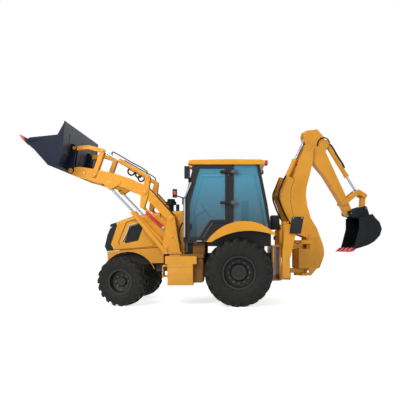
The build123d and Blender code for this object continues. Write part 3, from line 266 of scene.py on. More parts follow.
yellowEnamel = sprayedPaint("yellow enamel on steel", "#E09A22", "#D38E1C", "#A98C58", 0.42, 1.9, 0.08)
# A darker brown copy of the yellow enamel: painted shade for grooves and for parts that stand in shadow
paintedShadeEnamel = sprayedPaint("yellow enamel darkened as painted shade", "#8E5C17", "#7A4E12", "#7D6A48", 0.6, 1.9, 0.0)
blackEnamel = sprayedPaint("black enamel on steel", "#141518", "#0E0F11", "#45413A", 0.45, 1.1, 0.05)
frameEnamel = sprayedPaint("charcoal enamel on steel", "#1C1D1F", "#141517", "#55503F", 0.55, 1.2, 0.0)
cabEnamel = sprayedPaint("cab frame enamel", "#101216", "#0A0C10", "#3E3A33", 0.35, 1.5, 0.08)
bucketPaint = wornPaint("navy bucket paint", "#0C1427", "#18243C", 0.5, 0.0)
hoeBucketPaint = wornPaint("black bucket paint", "#101315", "#23282A", 0.5, 0.0)
tyreRubber = dustyRubber("tyre rubber", "#121213", "#2E2C28", 0.4, 3)
hoseRubber = dustyRubber("hose rubber", "#101113", "#2B2926", 0.3, 2)
blackPlastic = mouldedPlastic("moulded black plastic", "#121315", 0.55, 1.5)
chromedSteel = polishedRod("hard chrome", "#9BA3AB", 0.2, 2)
zincSteel = polishedRod("zinc-plated steel", "#84878A", 0.38, 3)
castSteel = sprayedPaint("cast steel primer", "#5C5E61", "#4A4C4E", "#75705F", 0.5, 1.2, 0.0)
# Teal at the top and dark blue low down: painted sky and ground reflection
cabGlass = tintedGlass("tinted safety glass", "#3592B2", "#12303E", 0.6, 0.03)
redEnamel = sprayedPaint("red enamel on steel", "#C9242E", "#B81F2A", "#8C6A58", 0.4, 0.6, 0.2)
amberLens = lampLens("amber acrylic lens", "#E8780C", 0.15, 0.2)
redLens = lampLens("red acrylic lens", "#B3121A", 0.1, 0.2)
clearLens = lampLens("clear acrylic lens", "#D9DDDF", 0.1, 0.12)
seatCloth = wovenFabric("seat cloth", "#2A2B2E", 3)
silverEnamel = sprayedPaint("silver enamel on tube", "#B8BBBE", "#A9ACB0", "#8C887E", 0.35, 1.0, 0.2)
print("materials made")

nodesByMaterial = (
    (frameEnamel, "chassis_frame axles knuckle_left knuckle_right tow_eye"),
    (castSteel, "engine_block"),
    (yellowEnamel,
     "side_panels loader_towers cowl hood side_boxes rear_fenders cab_roof loader_arms bellcranks"),
    (yellowEnamel, "guide_levers bucket_links tie_rods lift_barrels tilt_barrels hoe_frame swing_post boom"),
    (yellowEnamel, "boom_barrel dipper crowd_barrel curl_barrel tipping_lever hoe_link"),
    (yellowEnamel, "stabilizer_leg_left stabilizer_leg_right stabilizer_barrel_left stabilizer_barrel_right"),
    (blackPlastic, "grille lamps_rails_and_stack"),
    (cabEnamel, "cab_base cab_posts door_left door_right"),
    (cabGlass, "cab_glass door_glass_left door_glass_right"),
    (seatCloth, "operator_seat"),
    (bucketPaint, "loader_bucket"),
    (hoeBucketPaint, "hoe_bucket"),
    (chromedSteel,
     "lift_rods tilt_rods boom_rod crowd_rod curl_rod stabilizer_rod_left stabilizer_rod_right"),
    (tyreRubber, "rear_tyre_left rear_tyre_right front_tyre_left front_tyre_right"),
    (blackEnamel, "rear_rim_left rear_rim_right front_rim_left front_rim_right"),
)
for material, names in nodesByMaterial:
    for name in names.split():
        mesh = bpy.data.objects[name].data
        mesh.materials.clear()
        mesh.materials.append(material)
print("nodes finished")


def clearSelection():
    bpy.ops.object.select_all(action="DESELECT")


def selectOnly(piece):
    clearSelection()
    piece.select_set(True)
    bpy.context.view_layer.objects.active = piece


def newPiece(name, points, edges, faces):
    mesh = bpy.data.meshes.new(name)
    mesh.from_pydata(points, edges, faces)
    piece = bpy.data.objects.new(name, mesh)
    bpy.context.collection.objects.link(piece)
    return piece


def smoothUnder(degrees=35):
    bpy.ops.object.shade_smooth_by_angle(angle=math.radians(degrees))


def finishPiece(piece, name, material, body):
    # The piece's place goes into its mesh, and the piece rides on its body
    selectOnly(piece)
    bpy.ops.object.transform_apply(location=True, rotation=True, scale=True)
    piece.name = name
    piece.data.materials.clear()
    piece.data.materials.append(material)
    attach(piece, body)
    return piece


def roundEdges(piece, widthMm, segments=2):
    bevel = piece.modifiers.new("roundEdges", "BEVEL")
    bevel.width = widthMm / 1000
    bevel.segments = segments
    bevel.limit_method = "ANGLE"
    bevel.harden_normals = False
    bpy.context.view_layer.objects.active = piece
    bpy.ops.object.modifier_apply(modifier="roundEdges")


def addBlock(name, low, high, edgeMm, material, body, place=at):
    # A box between two corners in millimetres, with rounded edges
    a, b = Vector(low), Vector(high)
    clearSelection()
    bpy.ops.mesh.primitive_cube_add(size=1)
    piece = bpy.context.object
    for vertex in piece.data.vertices:
        share = [v + 0.5 for v in vertex.co]
        vertex.co = place(*[a[i] + (b[i] - a[i]) * share[i] for i in range(3)])
    fixNormals(piece)
    roundEdges(piece, edgeMm)
    smoothUnder()
    return finishPiece(piece, name, material, body)


def addSideBlock(name, side, spans, edgeMm, material, body):
    # A block on one side of the machine, its lateral span counted outwards from the middle
    (x0, x1), (y0, y1), (z0, z1) = spans
    low, high = sorted((side * y0, side * y1))
    return addBlock(name, (x0, low, z0), (x1, high, z1), edgeMm, material, body)


def fixNormals(piece):
    selectOnly(piece)
    bpy.ops.object.mode_set(mode="EDIT")
    bpy.ops.mesh.select_all(action="SELECT")
    bpy.ops.mesh.normals_make_consistent(inside=False)
    bpy.ops.object.mode_set(mode="OBJECT")


def addShaft(name, start, end, radiusMm, edgeMm, material, body, sides=24):
    # A round bar between two points in metres
    start, end = Vector(start), Vector(end)
    run = end - start
    clearSelection()
    bpy.ops.mesh.primitive_cylinder_add(vertices=sides, radius=radiusMm / 1000, depth=run.length,
                                        location=(start + end) / 2)
    piece = bpy.context.object
    piece.rotation_euler = run.to_track_quat("Z", "Y").to_euler()
    bpy.ops.object.transform_apply(location=True, rotation=True, scale=True)
    roundEdges(piece, edgeMm)
    smoothUnder()
    return finishPiece(piece, name, material, body)


def addHose(name, points, radiusMm, material, body, resolution=6):
    # A hose or tube along a smooth run through points in metres
    curve = bpy.data.curves.new(name, "CURVE")
    curve.dimensions = "3D"
    curve.bevel_depth = radiusMm / 1000
    curve.bevel_resolution = 3
    curve.resolution_u = resolution
    curve.use_fill_caps = True
    spline = curve.splines.new("BEZIER")
    spline.bezier_points.add(len(points) - 1)
    for spot, point in zip(spline.bezier_points, points):
        spot.co = point
        spot.handle_left_type = spot.handle_right_type = "AUTO"
    piece = bpy.data.objects.new(name, curve)
    bpy.context.collection.objects.link(piece)
    selectOnly(piece)
    bpy.ops.object.convert(target="MESH")
    piece = bpy.context.object
    bpy.ops.object.shade_smooth()
    return finishPiece(piece, name, material, body)


tyreSizes = {
    # radius, width, bead radius, lugs on each half, lug height, lug sweep in degrees
    "rear": (662.0, 480.0, 305.0, 21, 42.0, 17.0),
    "front": (482.0, 310.0, 229.0, 19, 30.0, 17.0),
    "crownDrop": 10.0,
    "spinSteps": 96,
    "treadTurn": 0.11,
}


def tyreProfile(radius, width, bead, lugHeight):
    # Carcass points from the inner bead over the crown to the outer bead, as (radius, across)
    half = width / 2
    base = radius - lugHeight
    wall = [
        (bead + 2, 0.74), (bead + 14, 0.77), (bead + 26, 0.84), (bead + (base - bead) * 0.3, 0.955),
        (bead + (base - bead) * 0.52, 0.985), (bead + (base - bead) * 0.78, 0.95), (base - 16, 0.87),
        (base - tyreSizes["crownDrop"] * 0.4, 0.6),
    ]
    inner = [(r, -half * share) for r, share in wall]
    return inner + [(base, 0)] + [(r, half * share) for r, share in wall[::-1]]


def lugStations(radius, width, bead, lugHeight):
    # Stations along one lug, from the crown to low on the sidewall: radius of root and of top, across, width
    half = width / 2
    base = radius - lugHeight
    return [
        (base - 6, radius - 2, -half * 0.03, 0.62),
        (base - 8, radius, half * 0.3, 0.66),
        (base - 12, radius - 1, half * 0.62, 0.74),
        (base - 30, radius - 6, half * 0.88, 0.86),
        (base - 52, radius - 26, half * 0.985, 0.92),
        (bead + (base - bead) * 0.66, radius - 74, half * 0.992, 0.8),
        (bead + (base - bead) * 0.52, bead + (base - bead) * 0.6, half * 0.985, 0.66),
    ]


def addTyre(word, kind, carrier, hub, turn):
    radius, width, bead, lugCount, lugHeight, sweep = tyreSizes[kind]
    name = kind + "Tyre" + word.capitalize()
    profile = tyreProfile(radius, width, bead, lugHeight)
    points = [(r / 1000, y / 1000, 0) for r, y in profile]
    body = newPiece(name, points, [(i, i + 1) for i in range(len(points) - 1)], [])
    selectOnly(body)
    bpy.ops.object.mode_set(mode="EDIT")
    bpy.ops.mesh.select_all(action="SELECT")
    bpy.ops.mesh.spin(steps=tyreSizes["spinSteps"], angle=math.tau, center=(0, 0, 0), axis=(0, 1, 0))
    bpy.ops.mesh.remove_doubles(threshold=0.0001)
    bpy.ops.mesh.select_all(action="SELECT")
    bpy.ops.mesh.normals_make_consistent(inside=False)
    bpy.ops.object.mode_set(mode="OBJECT")
    bpy.ops.object.shade_smooth()
    # One lug, then its copies round the tyre
    stations = lugStations(radius, width, bead, lugHeight)
    pitch = math.tau / lugCount
    vertices, faces = [], []
    for half in (-1, 1):
        for index in range(lugCount):
            start = index * pitch + (pitch / 2 if half > 0 else 0)
            first = len(vertices)
            for step, (root, top, across, wide) in enumerate(stations):
                lean = math.radians(sweep) * min(1.0, step / 3.2)
                span = pitch * 0.5 * wide * 0.5
                for r, widen in ((root, 1.25), (top, 0.85)):
                    for edge in (-1, 1):
                        angle = start + lean + edge * span * widen
                        vertices.append((r / 1000 * math.cos(angle), half * across / 1000,
                                         r / 1000 * math.sin(angle)))
            for step in range(len(stations) - 1):
                a, b = first + step * 4, first + step * 4 + 4
                for p, q in ((0, 1), (1, 3), (3, 2), (2, 0)):
                    faces.append((a + p, a + q, b + q, b + p))
            last = first + (len(stations) - 1) * 4
            faces.append((first, first + 2, first + 3, first + 1))
            faces.append((last, last + 1, last + 3, last + 2))
    lugs = newPiece(name + "Lugs", vertices, [], faces)
    fixNormals(lugs)
    roundEdges(lugs, 5 if kind == "rear" else 4, 1)
    smoothUnder(40)
    selectOnly(body)
    lugs.select_set(True)
    bpy.ops.object.join()
    tread = Matrix.Rotation(tyreSizes["treadTurn"], 4, "Y")
    body.matrix_world = Matrix.Translation(hub) @ Matrix.Rotation(turn, 4, "Z") @ tread
    finishPiece(body, name, tyreRubber, carrier)
    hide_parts(kind + "_tyre_" + word)
    return body


wheelPlaces = {
    # hub x, y, z, with the front wheels turned about their kingpins
    "rear": (590, 885, 662),
    "front": (-1660, 845, 482),
    "kingpin": 735,
    "steer": math.radians(-13),
}


def hubOf(kind, side):
    x, y, z = wheelPlaces[kind]
    if kind == "rear":
        return at(x, side * y, z), 0.0
    steer, kingpin = wheelPlaces["steer"], wheelPlaces["kingpin"]
    reach = side * (y - kingpin)
    return at(x - reach * math.sin(steer), side * kingpin + reach * math.cos(steer), z), steer


def addTyres():
    for side, word in sideWords:
        for kind in ("rear", "front"):
            hub, steer = hubOf(kind, side)
            addTyre(word.lower(), kind, kind + "_wheel_" + word.lower(), hub, steer)


addTyres()
print("tyres made")


def addPlate(name, outline, low, high, edgeMm, material, body, place=at):
    # A plate from a side outline of (x, z) points, between two lateral places
    front = [place(x, low, z) for x, z in outline]
    back = [place(x, high, z) for x, z in outline]
    count = len(outline)
    faces = [tuple(range(count)), tuple(range(2 * count - 1, count - 1, -1))]
    for i in range(count):
        j = (i + 1) % count
        faces.append((j, i, i + count, j + count))
    piece = newPiece(name, front + back, [], faces)
    fixNormals(piece)
    roundEdges(piece, edgeMm)
    smoothUnder()
    return finishPiece(piece, name, material, body)


def addSidePlate(name, side, outline, span, edgeMm, material, body, place=at):
    low, high = sorted((side * span[0], side * span[1]))
    return addPlate(name, outline, low, high, edgeMm, material, body, place)


def addHexHeads(name, places, axis, acrossMm, heightMm, material, body):
    # One bolt head with its washer, then a copy at every place; axis points out of the surface
    clearSelection()
    bpy.ops.mesh.primitive_cylinder_add(vertices=6, radius=acrossMm / 1750, depth=heightMm / 1000,
                                        location=(0, 0, heightMm / 2000))
    head = bpy.context.object
    bpy.ops.object.transform_apply(location=True)
    roundEdges(head, heightMm * 0.12, 1)
    clearSelection()
    bpy.ops.mesh.primitive_cylinder_add(vertices=20, radius=acrossMm / 1500, depth=heightMm / 4500,
                                        location=(0, 0, heightMm / 9000))
    washer = bpy.context.object
    bpy.ops.object.transform_apply(location=True)
    head.select_set(True)
    bpy.context.view_layer.objects.active = head
    bpy.ops.object.join()
    turn = Vector(axis).to_track_quat("Z", "Y").to_matrix().to_4x4()
    copies = []
    for spot in places:
        piece = head.copy()
        piece.data = head.data.copy()
        bpy.context.collection.objects.link(piece)
        piece.matrix_world = Matrix.Translation(Vector(spot)) @ turn
        copies.append(piece)
    bpy.data.objects.remove(head, do_unlink=True)
    clearSelection()
    for piece in copies:
        piece.select_set(True)
    bpy.context.view_layer.objects.active = copies[0]
    bpy.ops.object.join()
    joined = bpy.context.object
    smoothUnder(30)
    return finishPiece(joined, name, material, body)


def addRing(name, centre, axis, ringMm, tubeMm, material, body, squash=1.0):
    # A round-section ring about an axis, flattened across it by squash
    clearSelection()
    bpy.ops.mesh.primitive_torus_add(major_radius=ringMm / 1000, minor_radius=tubeMm / 1000,
                                     major_segments=64, minor_segments=10)
    piece = bpy.context.object
    piece.scale = (1, 1, squash)
    bpy.ops.object.transform_apply(scale=True)
    turn = Vector(axis).to_track_quat("Z", "Y").to_matrix().to_4x4()
    piece.matrix_world = Matrix.Translation(Vector(centre)) @ turn
    bpy.ops.object.shade_smooth()
    return finishPiece(piece, name, material, body)


wheelTrim = {
    # disc face beyond the tyre's middle, nut circle, nuts, hub radius, hub face
    "rear": (20, 212, 12, 172, 80),
    "front": (5, 128, 8, 92, 33),
    "nutAcross": {"rear": 34, "front": 30},
    "rimEdge": {"rear": (300, 9), "front": (224, 7)},
}


def addWheelTrim():
    for kind in ("rear", "front"):
        disc, circle, nuts, hubRadius, hubFace = wheelTrim[kind]
        half = tyreSizes[kind][1] / 2
        for side, word in sideWords:
            centre, steer = hubOf(kind, side)
            turn = Matrix.Rotation(steer, 3, "Z")
            out = turn @ Vector((0, side, 0))
            body = kind + "_wheel_" + word.lower()
            name = kind + word
            spots = []
            for index in range(nuts):
                angle = math.tau * index / nuts
                radial = turn @ Vector((math.cos(angle), 0, math.sin(angle)))
                spots.append(centre + radial * circle / 1000 + out * (disc + 6) / 1000)
            addHexHeads(name + "Nuts", spots, out, wheelTrim["nutAcross"][kind], 22, castSteel, body)
            ringMm, tubeMm = wheelTrim["rimEdge"][kind]
            addRing(name + "RimEdge", centre + out * half * 0.80 / 1000, out, ringMm + 26, tubeMm,
                    blackEnamel, body, 0.7)
            addRing(name + "RimStep", centre + out * (disc + 26) / 1000, out, ringMm - 26, tubeMm * 0.8,
                    blackEnamel, body, 0.6)
            addRing(name + "HubStep", centre + out * (disc + hubFace * 0.55) / 1000, out, hubRadius * 0.86, 8,
                    frameEnamel, body, 0.8)
            addRing(name + "HubCap", centre + out * (disc + hubFace - 2) / 1000, out, hubRadius * 0.42, 7,
                    frameEnamel, body, 0.9)


addWheelTrim()
print("wheel trim made")

loaderTrim = {
    "bucketHalf": 1125,
    "teeth": 8,
    "cutter": [(-3466, 3182), (-3392, 3243), (-2878, 3296), (-2868, 3268), (-3290, 3150), (-3400, 3120)],
    "toothOutline": [(-3600, 3306), (-3562, 3238), (-3496, 3163), (-3466, 3180), (-3500, 3238),
                     (-3562, 3293)],
    "pinReach": 75,
    "towerReach": 87,
    "armFace": 578,
    "hoseRadius": 17,
    "pipeRadius": 12,
}


def addLoaderTrim():
    # Red caps on the teeth, the bucket's wear strip and stiffeners
    teeth = loaderTrim["teeth"]
    edge = loaderTrim["bucketHalf"] - 60
    for index in range(teeth):
        y = edge * (2 * index / (teeth - 1) - 1)
        addPlate("bucketTooth%d" % index, loaderTrim["toothOutline"], y - 34, y + 34, 4, redEnamel,
                 "loader_bucket")
    addPlate("bucketWearStrip", [(-3335, 3064), (-3180, 2886), (-3174, 2892), (-3330, 3070)], -1090, 1090, 2,
             zincSteel, "loader_bucket")
    for index, y in enumerate((-760, 0, 760)):
        addPlate("bucketRib%d" % index, [(-2864, 2806), (-2798, 2962), (-2746, 3380), (-2736, 3380),
                                         (-2786, 2960),
                                         (-2852, 2800)], y - 9, y + 9, 3, bucketPaint, "loader_bucket")
    armY, pinReach, towerReach = layout["armY"], loaderTrim["pinReach"], loaderTrim["towerReach"]
    armFace = loaderTrim["armFace"]
    for side, word in sideWords:
        out = Vector((0, side, 0))
        # Side cutter that runs back from the corner tooth to the bucket's notch
        addSidePlate("sideCutter" + word, side, loaderTrim["cutter"], (1108, 1123), 3, bucketPaint,
                     "loader_bucket")
        # Pin caps with a locking bolt each, on the outer plates
        caps = (
            ("elbow", (-1290, 2251), pinReach, "bellcranks", 44),
            ("rockTop", (-1241, 2562), pinReach, "bellcranks", 34),
            ("leverFoot", (-2324, 2593), pinReach, "guide_levers", 34),
            ("leverTop", (-2152, 3090), pinReach, "guide_levers", 34),
            ("bucketEar", (-2718, 3142), pinReach, "loader_bucket", 34),
            ("bucketPin", (-2790, 2690), pinReach, "loader_bucket", 46),
            ("armFoot", (-772, 1720), towerReach, "chassis", 50),
            ("tieFoot", (-757, 1352), towerReach, "chassis", 40),
            ("liftFoot", (-863, 1150), towerReach, "chassis", 44),
        )
        for label, (x, z), reach, body, radius in caps:
            start = at(x, side * (armY + reach - 2), z)
            end = at(x, side * (armY + reach + 8), z)
            addShaft(label + "Cap" + word, start, end, radius, 3, yellowEnamel, body, 28)
            addHexHeads(label + "Bolt" + word, [at(x + radius * 0.45, side * (armY + reach + 8), z)], out,
                        18, 8, zincSteel, body)
        # Round bosses where the arm's front end is drilled
        for index, (x, z) in enumerate(((-2731, 2683), (-2533, 2648))):
            addRing("armBoss%d%s" % (index, word), at(x, side * armFace, z), out, 34, 7, yellowEnamel,
                    "loader_arms",
                    0.4)
            addHexHeads("armBossBolt%d%s" % (index, word), [at(x, side * armFace, z)], out, 26, 3, zincSteel,
                        "loader_arms")
        # Oval doubler round the lift eye and the guard strip over the arm's rear top edge
        oval = [(-2010 + 96 * math.cos(t) * 1.15, 2352 + 62 + 70 * math.sin(t)) for t in
                [math.tau * i / 28 for i in range(28)]]
        addSidePlate("armDoubler" + word, side, oval, (armFace, armFace + 6), 2, yellowEnamel, "loader_arms")
        addSidePlate("armGuard" + word, side, [(-1216, 2318), (-736, 1796), (-716, 1812), (-1198, 2336)],
                     (armY - 38, armY + 38), 2, blackPlastic, "loader_arms")
        # Black hoses that loop under the tilt cylinder, and the thin pipes over it
        for label, y, run in (
                ("Front", side * 522, [(-1586, 2752), (-1632, 2730), (-1652, 2684), (-1634, 2634),
                                       (-1590, 2606),
                                       (-1548, 2618), (-1512, 2672), (-1498, 2712)]),
                ("Rear", side * 540, [(-1462, 2690), (-1490, 2650), (-1494, 2604), (-1466, 2566),
                                      (-1424, 2556),
                                      (-1388, 2580), (-1366, 2622), (-1360, 2652)])):
            addHose("tiltHose" + label + word, [at(x, y, z) for x, z in run], loaderTrim["hoseRadius"],
                    hoseRubber, "tilt_barrels")
        pipe = [(-1272, 2622), (-1262, 2668), (-1300, 2706), (-1600, 2876), (-1900, 3046), (-1958, 3072),
                (-1976, 3052), (-1962, 3022)]
        addHose("tiltPipe" + word, [at(x, side * armY, z) for x, z in pipe], loaderTrim["pipeRadius"],
                blackEnamel, "tilt_barrels")
        # Safety strut pinned beside the tie rod, its pale knob at the lower end
        y = side * (armY + 30)
        addShaft("safetyStrut" + word, at(-1279, y, 1858), at(-934, y, 1540), 30, 4, redEnamel, "tie_rods",
                 20)
        addShaft("safetyStrutKnob" + word, at(-950, y, 1554), at(-910, y, 1518), 31, 6, silverEnamel,
                 "tie_rods",
                 20)
        # Bolt row at the tower's foot
        spots = [at(x, side * 640, z) for x, z in ((-905, 1033), (-820, 1033), (-735, 1033), (-650, 1033))]
        addHexHeads("towerFootBolts" + word, spots, out, 26, 11, zincSteel, "chassis")


addLoaderTrim()
print("loader trim made")

hoodTrim = {
    "ventFront": [(-1442, 1643), (-1643, 1598), (-1700, 1430), (-1790, 1260)],
    "upperGroove": [(-1497, 1708), (-1698, 1662), (-1867, 1250), (-1835, 1191)],
    "lowerGroove": [(-1972, 1078), (-1159, 1150), (-1094, 1260)],
}


def stripOutline(line, width):
    # Both edges of a strip that follows a line of (x, z) points
    one, two = [], []
    for index, (x, z) in enumerate(line):
        a = Vector(line[max(0, index - 1)])
        b = Vector(line[min(len(line) - 1, index + 1)])
        run = (b - a).normalized()
        one.append((x - run.y * width / 2, z + run.x * width / 2))
        two.append((x + run.y * width / 2, z - run.x * width / 2))
    return one + two[::-1]


def addHoodTrim():
    for side, word in sideWords:
        for label, line, width, low, high, material, slot in (
                ("ventBright", hoodTrim["ventFront"], 20, 429.5, 436, silverEnamel, "chrome"),
                ("ventBlack", [(x + 17, z - 6) for x, z in hoodTrim["ventFront"]], 20, 429.5, 432.5,
                 blackPlastic, "black_paint"),
                # Both grooves use the painted-shade enamel: the upper one is painted shade in a pressed
                # groove, the lower one marks a panel gap
                ("upperGroove", hoodTrim["upperGroove"], 22, 429.5, 430.8, paintedShadeEnamel, "yellow_paint"),
                ("lowerGroove", [(x, z + 10) for x, z in hoodTrim["lowerGroove"]], 14, 429.5, 430.8,
                 paintedShadeEnamel, "yellow_paint")):
            addSidePlate(label + word, side, stripOutline(line, width), (low, high), 0.5, material, "hood")
        # Head lamp behind its clear lens
        lens = [(-1990, 1588), (-2032, 1606), (-2038, 1566), (-1996, 1574)]
        addSidePlate("headLampLens" + word, side, lens, (330, 418), 4, clearLens, "hood")


addHoodTrim()
print("hood trim made")

cabTrim = {
    "railSide": 800,
    "railRadius": 16.5,
    "hingeHeights": (2030, 2640),
    "blocks": (
        # Work lamps with amber lenses ahead and red ones behind, mirror glass, and the lamp on its arm
        ("frontLampLens", ((-411, -402), (650, 735), (2718, 2779)), 3, amberLens, "glass"),
        ("frontLampSide", ((-398, -338), (742, 749), (2722, 2776)), 2, amberLens, "glass"),
        ("rearLampLens", ((1156, 1166), (575, 738), (2796, 2864)), 3, redLens, "glass"),
        ("rearLampSide", ((1106, 1156), (741, 749), (2796, 2864)), 2, redLens, "glass"),
        ("mirrorGlass", ((-377, -371), (762, 830), (2512, 2728)), 2, chromedSteel, "chrome"),
        ("indicatorAmber", ((-676, -632), (848, 936), (2172, 2236)), 4, redLens, "glass"),
    ),
    "seatCushion": ((228, -248, 1424), (716, 248, 1538)),
    "seatBack": ((650, -226, 1545), (806, 226, 2140)),
}


def addPad(name, low, high, lean, seams):
    # A crowned cushion: a box of cloth blown up under light pressure and capped, then its sewn channels
    a, b = Vector(low), Vector(high)
    clearSelection()
    bpy.ops.mesh.primitive_cube_add(size=1)
    piece = bpy.context.object
    shrink = Vector((9, 9, 9))
    for vertex in piece.data.vertices:
        share = [v + 0.5 for v in vertex.co]
        spot = [(a[i] + shrink[i]) + (b[i] - a[i] - 2 * shrink[i]) * share[i] for i in range(3)]
        spot[0] += lean * (spot[2] - a.z) / max(1.0, b.z - a.z)
        vertex.co = at(*spot)
    fixNormals(piece)
    roundEdges(piece, 26, 3)
    remesh = piece.modifiers.new("grid", "REMESH")
    remesh.mode = "VOXEL"
    remesh.voxel_size = 0.011
    bpy.ops.object.modifier_apply(modifier="grid")
    before = [vertex.co.copy() for vertex in piece.data.vertices]
    cloth = piece.modifiers.new("swell", "CLOTH")
    cloth.settings.use_pressure = True
    cloth.settings.uniform_pressure_force = 4
    cloth.settings.effector_weights.gravity = 0
    cloth.point_cache.frame_start = 1
    cloth.point_cache.frame_end = 20
    for step in range(1, 21):
        bpy.context.scene.frame_set(step)
    bpy.ops.object.modifier_apply(modifier="swell")
    bpy.context.scene.frame_set(1)
    for vertex, start in zip(piece.data.vertices, before):
        move = vertex.co - start
        if move.length > 0.009:
            vertex.co = start + move.normalized() * 0.009
    for vertex in piece.data.vertices:
        pull = 0.0
        for seamAxis, seamAt in seams:
            away = abs(vertex.co[seamAxis] * 1000 - seamAt)
            pull = max(pull, math.exp(-(away / 9) ** 2))
        vertex.co -= vertex.normal * 0.006 * pull
    smooth = piece.modifiers.new("smooth", "SUBSURF")
    smooth.levels = smooth.render_levels = 1
    bpy.ops.object.modifier_apply(modifier="smooth")
    bpy.ops.object.shade_smooth()
    finishPiece(piece, name, seatCloth, "chassis")
    return piece


def addSeat():
    low, high = cabTrim["seatCushion"]
    pieces = [addPad("seatCushion", low, high, 0, [(1, -120), (1, 120)])]
    low, high = cabTrim["seatBack"]
    pieces.append(addPad("seatBackPad", low, high, 2, [(2, 1740), (2, 1920)]))
    pieces.append(addBlock("seatSuspension", (300, -150, 1266), (620, 150, 1425), 14, blackPlastic,
                           "chassis"))
    pieces.append(addPlate("dashColumn", [(-480, 1266), (-300, 1266), (-300, 1850), (-345, 1880),
                                          (-480, 1880)],
                           -160, 160, 18, blackPlastic, "chassis"))
    pieces.append(addShaft("steeringShaft", at(-305, 0, 1796), at(-122, 0, 1928), 22, 4, blackPlastic,
                           "chassis"))
    axis = (at(-105, 0, 1940) - at(-299, 0, 1800)).normalized()
    centre = at(-117, 0, 1931)
    pieces.append(addRing("steeringWheel", centre, axis, 176, 13, blackPlastic, "chassis"))
    across = Vector((0, 1, 0))
    rise = axis.cross(across)
    for index, way in enumerate((across, -across, -rise)):
        pieces.append(addShaft("steeringSpoke%d" % index, centre, centre + way * 0.170, 9, 3, blackPlastic,
                               "chassis", 14))
    pieces.append(addShaft("steeringHub", centre - axis * 0.012, centre + axis * 0.010, 42, 5, blackPlastic,
                           "chassis"))
    for piece in pieces:
        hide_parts("operator_seat")


def addCabTrim():
    for side, word in sideWords:
        y = side * cabTrim["railSide"]
        r = cabTrim["railRadius"]
        addShaft("handRail" + word, at(-480, y, 1346), at(-480, y, 2112), r, 2, silverEnamel, "chassis")
        addShaft("handRailTop" + word, at(-476, y, 2130), at(-353, y, 2421), r, 2, silverEnamel, "chassis")
        for label, spans, edgeMm, material, slot in cabTrim["blocks"]:
            addSideBlock(label + word, side, spans, edgeMm, material, "chassis")
        # Hose up the cab's front corner
        y = side * 700
        addHose("cabHose" + word, [at(-560, y, 1200), at(-600, y, 1330), at(-590, y, 1500), at(-545, y, 1600),
                                   at(-524, y, 1640)], 16, hoseRubber, "chassis")
        # Door handle and its plate
        door = "door_" + word.lower()
        addSideBlock("doorHandle" + word, side, ((-395, -345), (750, 757), (1500, 1610)), 3, blackPlastic,
                     door)
        # Hinge straps on the door and blocks on the middle post
        for index, z in enumerate(cabTrim["hingeHeights"]):
            addSideBlock("hingeStrap%d%s" % (index, word), side, ((220, 350), (757, 798), (z - 27, z + 27)),
                         6, blackPlastic, door)
            addSideBlock("hingeBlock%d%s" % (index, word), side, ((424, 566), (752, 804), (z - 36, z + 36)),
                         8, castSteel, "chassis")
    addShaft("wiperPivot", at(-514, 0, 1930), at(-496, 0, 1930), 20, 3, blackPlastic, "chassis")
    addHose("wiperArm", [at(-514, 0, 1930), at(-512, -90, 2030), at(-466, -250, 2220)], 6, blackPlastic,
            "chassis")
    addHose("wiperBlade", [at(-508, -330, 2060), at(-466, -250, 2220), at(-420, -175, 2390)], 7, hoseRubber,
            "chassis")
    addShaft("stackCap", at(-860, 130, 2126), at(-860, 130, 2177), 84, 8, blackPlastic, "chassis",
             40)


addSeat()
addCabTrim()
print("cab trim made")

rearTrim = {
    "padOutline": [(1620, 1745), (1853, 1745), (1794, 1411), (1570, 1419)],
    "ribOutline": [(1638, 1702), (1802, 1702), (1772, 1448), (1608, 1448)],
    "pins": (
        # place in the hoe's plane, half width of what the pin holds, body, cap radius
        ("boomFoot", (356, 797), 186, "swing_post", 58),
        ("crowdBase", (-436, 2233), 145, "boom", 40),
        ("boomHead", (211, 3264), 145, "boom", 52),
        ("boomRamEye", (-160, 2200), 145, "boom", 40),
        ("curlBase", (650, 3400), 88, "dipper", 36),
        ("rocker", (1023, 2082), 119, "tipping_lever", 40),
        ("rockerEnd", (1540, 2268), 119, "tipping_lever", 38),
        ("curlEye", (1382, 2352), 119, "tipping_lever", 38),
        ("bucketPin", (1160, 1872), 150, "hoe_bucket", 42),
        ("bucketEar", (1519, 1985), 150, "hoe_bucket", 38),
    ),
    "sideBlocks": (
        # Tank, deck and riser behind and above the side box, coloured with painted shade, then the box's lid
        # and fold
        ("sideTank", ((-330, -96), (560, 870), (452, 930)), 46, paintedShadeEnamel),
        ("deckRiser", ((-330, -90), (470, 640), (1000, 1232)), 8, paintedShadeEnamel),
        ("stepDeck", ((-560, -98), (560, 870), (930, 1010)), 8, paintedShadeEnamel),
        ("boxLid", ((-768, -324), (991, 996), (436, 742)), 2, yellowEnamel),
        ("boxFold", ((-788, -304), (991, 996), (762, 812)), 2, yellowEnamel),
    ),
    "boomPanel": [(-130, 2564), (-200, 2420), (-222, 2280), (-222, 2069), (-160, 1774)],
    "toothOutline": [(1014, 1030), (1160, 1052), (1192, 1088), (1176, 1124), (1118, 1122)],
    "toothSpread": 260,
    "hoseRadius": 13,
}


